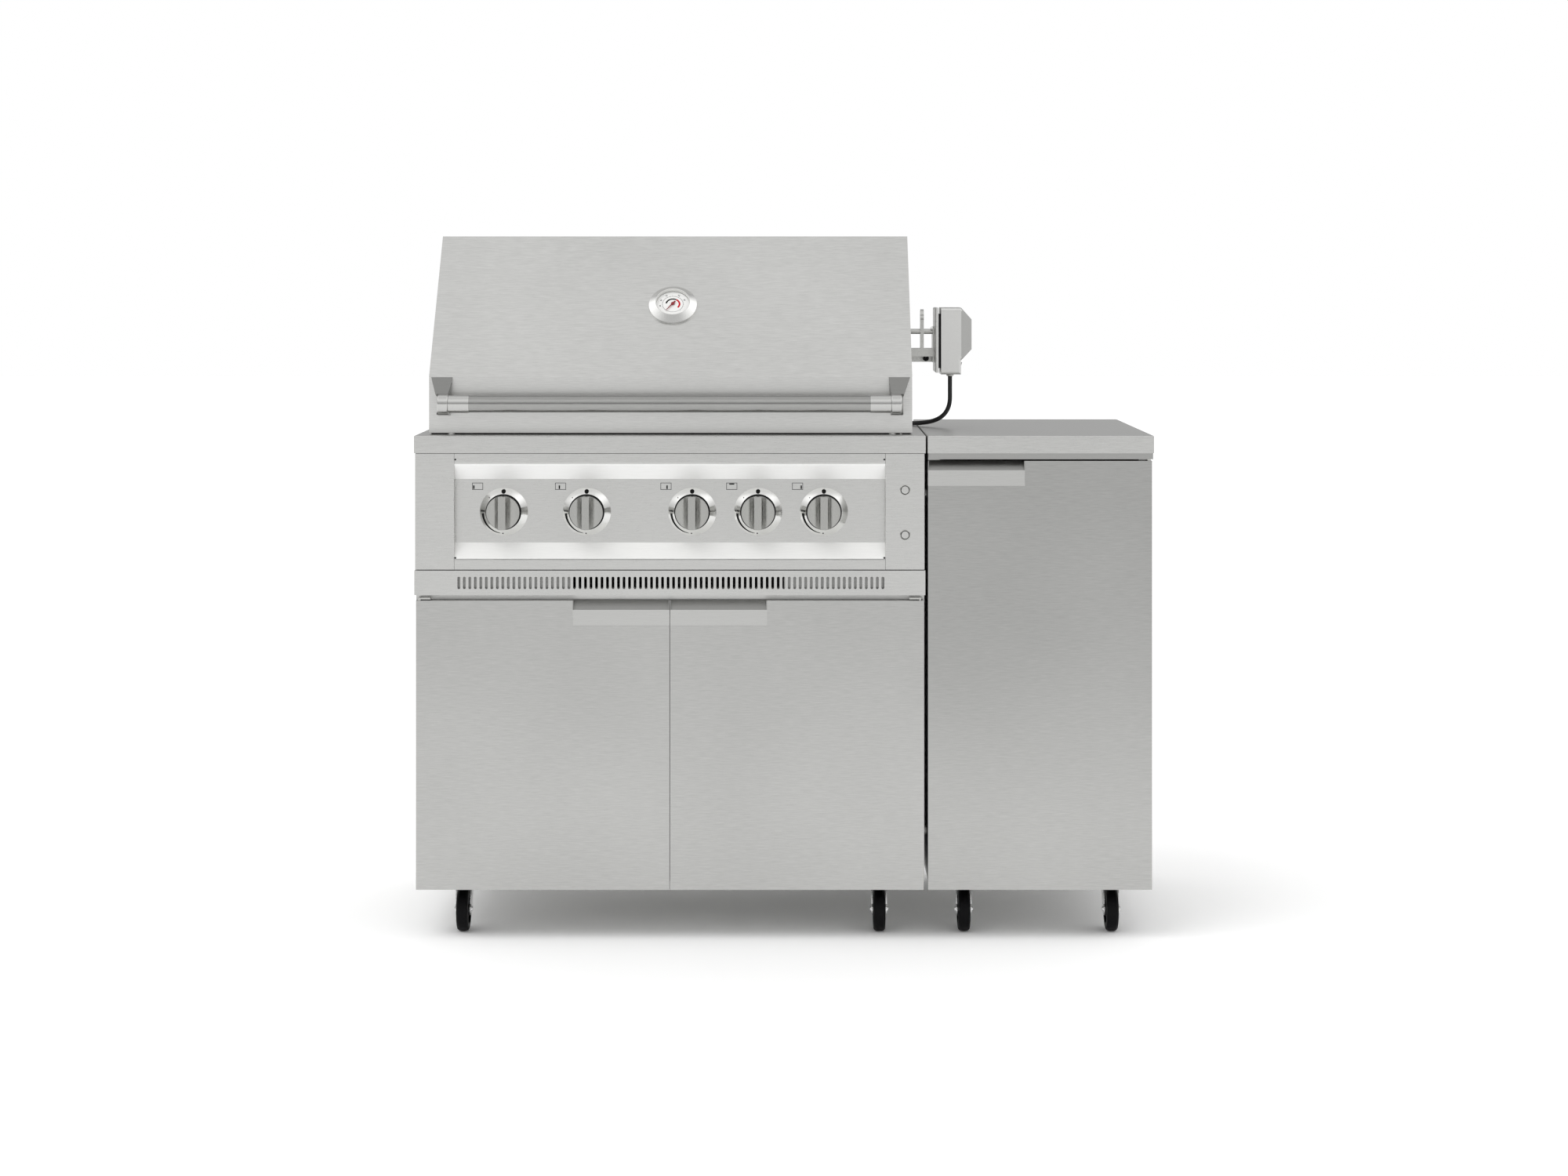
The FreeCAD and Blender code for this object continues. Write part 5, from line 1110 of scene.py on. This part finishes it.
@dataclass
class Thermometer:
    """The hood's thermometer: a polished case, an enamel dial with its print, and the needle."""

    dial_radius: float = 30.5 * MM
    face_height: float = 5.0 * MM
    plate_sink: float = 0.4 * MM
    plate_bevel: float = 0.3 * MM
    plate_proud: float = 0.02 * MM
    print_foot: float = 0.04 * MM
    print_gauge: float = 0.15 * MM
    # Bands on the dial: degrees anticlockwise from the right, and two radii in mm.
    smoke_band: tuple[float, float, float, float] = (172, 62, 11.1, 14.1)
    roast_band: tuple[float, float, float, float] = (60, -42, 10.9, 14.2)
    ring: tuple[float, float, float, float] = (0, 360, 19.1, 19.6)
    tick_count: int = 33
    first_tick: float = 236
    tick_step: float = 8.9
    half_tick: float = 0.5
    ticks_per_long: int = 4
    tick_foot: float = 19.8
    short_tick: float = 20.9
    long_tick: float = 21.8
    # Two short strokes stand for the figure at each label.
    label_angles: Sequence[float] = (190, 157, 120, 62, 25)
    label_strokes: Sequence[tuple[float, float, float, float]] = (
        (-3.6, -1.2, 22.6, 25.4), (0.6, 4.6, 22.8, 25.2))
    band_step: float = 6
    normal: Vector = field(init=False)
    upward: Vector = field(init=False)
    centre: Vector = field(init=False)

    def __post_init__(self) -> None:
        """Find the dial's plane from the needle's joint."""
        joint = next(j for j in frame["joints"] if j["name"] == "needle_turn")
        self.normal = -Vector(joint["axis"]).normalized()
        self.upward = (UP - self.normal * self.normal.z).normalized()
        self.centre = Vector(joint["pos_m"]) + self.normal * self.face_height

    def band(self, shape: bmesh.types.BMesh, start: float, stop: float, inner: float,
             outer: float) -> None:
        """Print a band on the dial.

        Args:
            shape: the mesh that it goes into.
            start: its first angle, in degrees anticlockwise from the right.
            stop: its last angle.
            inner: its inner radius, in mm.
            outer: its outer radius, in mm.
        """
        steps = max(2, int(abs(stop - start) / self.band_step))
        corners = ((inner, self.print_foot), (outer, self.print_foot), (outer, self.print_gauge),
                   (inner, self.print_gauge))
        rings = []
        for step in range(steps + 1):
            angle = math.radians(start + (stop - start) * step / steps)
            away = RIGHT * math.cos(angle) + self.upward * math.sin(angle)
            rings.append([self.centre + away * radius * MM + self.normal * lift
                          for radius, lift in corners])
        loft(shape, rings)

    def scale(self) -> bpy.types.Object:
        """Print the ring, its ticks and the strokes that stand for figures.

        Returns:
            The scale.
        """
        shape = bmesh.new()
        self.band(shape, *self.ring)
        for number in range(self.tick_count):
            angle = self.first_tick - self.tick_step * number
            end = self.short_tick if number % self.ticks_per_long else self.long_tick
            self.band(shape, angle - self.half_tick, angle + self.half_tick, self.tick_foot, end)
        for angle in self.label_angles:
            for before, after, inner, outer in self.label_strokes:
                self.band(shape, angle + before, angle + after, inner, outer)
        return finish_piece(shape, "dial_scale", GREY_INK, HOOD)

    def build(self) -> None:
        """Dress the case and the needle, and print the dial."""
        dress("thermometer", TRIM)
        dress("thermometer_needle", NEEDLE)
        shape = bmesh.new()
        turned(shape, self.centre, self.normal,
               [(-self.plate_sink, self.dial_radius - self.plate_bevel),
                (self.plate_proud, self.dial_radius)], sides=64)
        plate = finish_piece(shape, "dial_plate", ENAMEL, HOOD)
        shape = bmesh.new()
        self.band(shape, *self.smoke_band)
        smoke = finish_piece(shape, "dial_smoke_band", BLACK_INK_AND_HOLE_SHADE, HOOD)
        shape = bmesh.new()
        self.band(shape, *self.roast_band)
        roast = finish_piece(shape, "dial_roast_band", RED_INK, HOOD)
        for piece in (plate, smoke, roast, self.scale()):
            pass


@dataclass
class Hood:
    """The hood, its handle, the rubber bumpers that it rests on, and black strips of painted shade under
    its front.
    """

    sleeve_reach: float = 57.6 * MM
    # Each bumper's place from the hood's left end, and its radius.
    bumper_places: Sequence[tuple[float, float]] = (
        (40.8 * MM, 6.2 * MM), (852.6 * MM, 6.2 * MM), (868.3 * MM, 2.4 * MM))
    # Shares of the gap under the hood and of the bumper's radius.
    bumper_outline: Sequence[tuple[float, float]] = ((0, 0.9), (0.25, 1), (0.7, 1), (0.92, 0.8))
    bumper_setback: float = 6.5 * MM
    bumper_lift: float = 0.2 * MM
    strip_setbacks: tuple[float, float] = (3 * MM, 8 * MM)
    strip_inset: float = 4 * MM
    strip_gap: float = 1 * MM
    strip_lift: float = 0.3 * MM

    def build(self) -> None:
        """Dress the hood and its handle, and add the bumpers and, between them, the black strips of
        painted shade.
        """
        dress("hood_shell", SHEET)
        band_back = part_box("hood_shell")[0].y + SKIN
        # Painted light: the hood's upright band gets a paler copy of the sheet.
        dress_part("hood_shell", BAND_LIGHT_SHEET, lambda c: c.y < band_back)
        # Painted shade: the arms are darker than the hood.
        dress("handle_arms", ARM_SATIN_AND_SHADE)
        dress("hood_handle", TUBE)
        low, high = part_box("hood_handle")
        dress_part("hood_handle", CAP_TRIM,
                   lambda c: min(c.x - low.x, high.x - c.x) < self.sleeve_reach)
        for piece in (self.bumpers(), self.shade_strip()):
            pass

    def bumpers(self) -> bpy.types.Object:
        """Make the round rubber bumpers on the worktop.

        Returns:
            All of them as one piece.
        """
        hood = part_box("hood_shell")[0]
        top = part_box("cart_counter")[1].z
        shape = bmesh.new()
        for place, radius in self.bumper_places:
            foot = Vector((hood.x + place, hood.y + self.bumper_setback, top + self.bumper_lift))
            turned(shape, foot, UP, scaled(self.bumper_outline, hood.z - top, radius), sides=20)
        return finish_piece(shape, "hood_bumpers", BUMPER, ISLAND, smooth=True)

    def shade_strip(self) -> bpy.types.Object:
        """Make the black strips of painted shade in the gap under the hood's front, between the bumpers.

        Returns:
            All the strips as one piece.
        """
        low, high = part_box("hood_shell")
        near, far = (low.y + setback for setback in self.strip_setbacks)
        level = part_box("cart_counter")[1].z + self.strip_lift
        starts = [low.x + self.strip_inset]
        ends = []
        for place, radius in self.bumper_places:
            ends.append(low.x + place - radius - self.strip_gap)
            starts.append(low.x + place + radius + self.strip_gap)
        ends.append(high.x - self.strip_inset)
        # Painted shade: black strips fill the gap under the hood's front.
        shape = bmesh.new()
        for start, end in zip(starts, ends):
            slab(shape, [Vector((start, near, level)), Vector((end, near, level)),
                         Vector((end, far, level)), Vector((start, far, level))],
                 UP * (low.z - level))
        return finish_piece(shape, "hood_gap_shade_strip", GAP_SHADE_STRIP, HOOD)


@dataclass
class Grill:
    """What is under the hood, and the rotisserie beside it."""

    rods: Sequence[str] = ("cooking_grates", "spit_rod", "spit_bracket", "gas_manifold")
    heated: Sequence[str] = ("firebox", "main_burners", "rear_burner")
    # The neck between the motor's plate and its case, from the plate's outer face: black as painted
    # shade in the gap.
    neck: tuple[float, float] = (6.6 * MM, 11.6 * MM)
    cover_depth: float = 20.1 * MM
    # From the bracket's right end, front and foot to the wing screw's head.
    screw_offset: tuple[float, float, float] = (-15.5 * MM, 13 * MM, 24 * MM)
    screw_outline_mm: Sequence[tuple[float, float]] = (
        (0, 2.4), (12, 2.4), (12.2, 4.6), (14.4, 4.6), (14.6, 2.6), (21.6, 2.2))
    wing_outline_mm: Sequence[tuple[float, float]] = (
        (1.8, -13), (4.6, -12.6), (5.6, -15), (5.2, -19.5), (3.4, -21), (1.8, -20))
    wing_gauge: float = 1.6 * MM
    # From the bracket's right end, front and foot to the nut's seat.
    nut_offset: tuple[float, float, float] = (-7.0 * MM, 5.8 * MM, 65.5 * MM)
    nut_outline_mm: Sequence[tuple[float, float]] = ((0, 2.4), (0.5, 3.0), (4.0, 3.0))

    def build(self) -> None:
        """Dress the grill's inside, the spit, the bracket and the motor."""
        for node in self.rods:
            dress(node, ROD)
        for node in self.heated:
            dress(node, HEATED)
        dress("motor_case", CASE_SHEET)
        low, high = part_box("motor_case")
        # Painted shade: the neck in the gap goes black.
        dress_part("motor_case", NYLON_AND_GAP_SHADE, lambda c: self.neck[0] < c.x - low.x < self.neck[1])
        # Painted shade: the sloped cover is darker than the case's front.
        dress_part("motor_case", CASE_SIDE_SHADE, lambda c: c.x > high.x - self.cover_depth)
        dress("motor_switch", ROCKER)
        dress("cord_gland", CAP_TRIM)
        self.wing_screw()
        self.nut()

    def on_bracket(self, offset: Sequence[float]) -> Vector:
        """Find a place on the bracket.

        Args:
            offset: its distances from the bracket's right end, front and foot.

        Returns:
            The place.
        """
        low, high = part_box("spit_bracket")
        return Vector((high.x, low.y, low.z)) + Vector(offset)

    def wing_screw(self) -> None:
        """Add the dark wing screw that hangs in the bracket's channel."""
        centre = self.on_bracket(self.screw_offset)
        shape = bmesh.new()
        turned(shape, centre, -UP, scaled(self.screw_outline_mm, MM, MM), sides=20)
        front = centre + TO_FRONT * self.wing_gauge / 2
        for side in (-1, 1):
            slab(shape, [front + Vector((x, 0, z)) for x, z in
                         scaled(self.wing_outline_mm, side * MM, MM)], -TO_FRONT * self.wing_gauge)
        screw = finish_piece(shape, "bracket_wing_screw", NYLON_AND_GAP_SHADE, ISLAND)

    def nut(self) -> None:
        """Add the hexagon nut near the top of the bracket's flange."""
        shape = bmesh.new()
        turned(shape, self.on_bracket(self.nut_offset), RIGHT, scaled(self.nut_outline_mm, MM, MM),
               sides=6)
        nut = finish_piece(shape, "bracket_nut", ZINC, ISLAND)


@dataclass
class Castors:
    """The eight castors, numbered from the left at the front and at the back."""

    per_row: int = 4

    def build(self) -> None:
        """Dress the plates, forks, brake pedals and wheels."""
        dress("castor_plates", ZINC)
        for number in range(1, self.per_row + 1):
            dress("castor_fork_%d" % number, ZINC)
            dress("castor_brake_%d" % number, NYLON_AND_GAP_SHADE)
            dress("castor_wheel_%d" % number, TYRE)
            dress("rear_wheel_%d" % number, TYRE)


def main() -> None:
    """Build the scene in order."""
    logging.basicConfig(level=logging.INFO, format="%(message)s")
    bpy.context.scene.view_settings.view_transform = "Standard"
    Photographer().build()
    Lead().build()
    Studio().build()
    for part in (Cabinets(), Controls(), Thermometer(), Hood(), Grill(), Castors()):
        part.build()
        LOG.info("%s done", type(part).__name__)


if __name__ == "__main__":
    main()
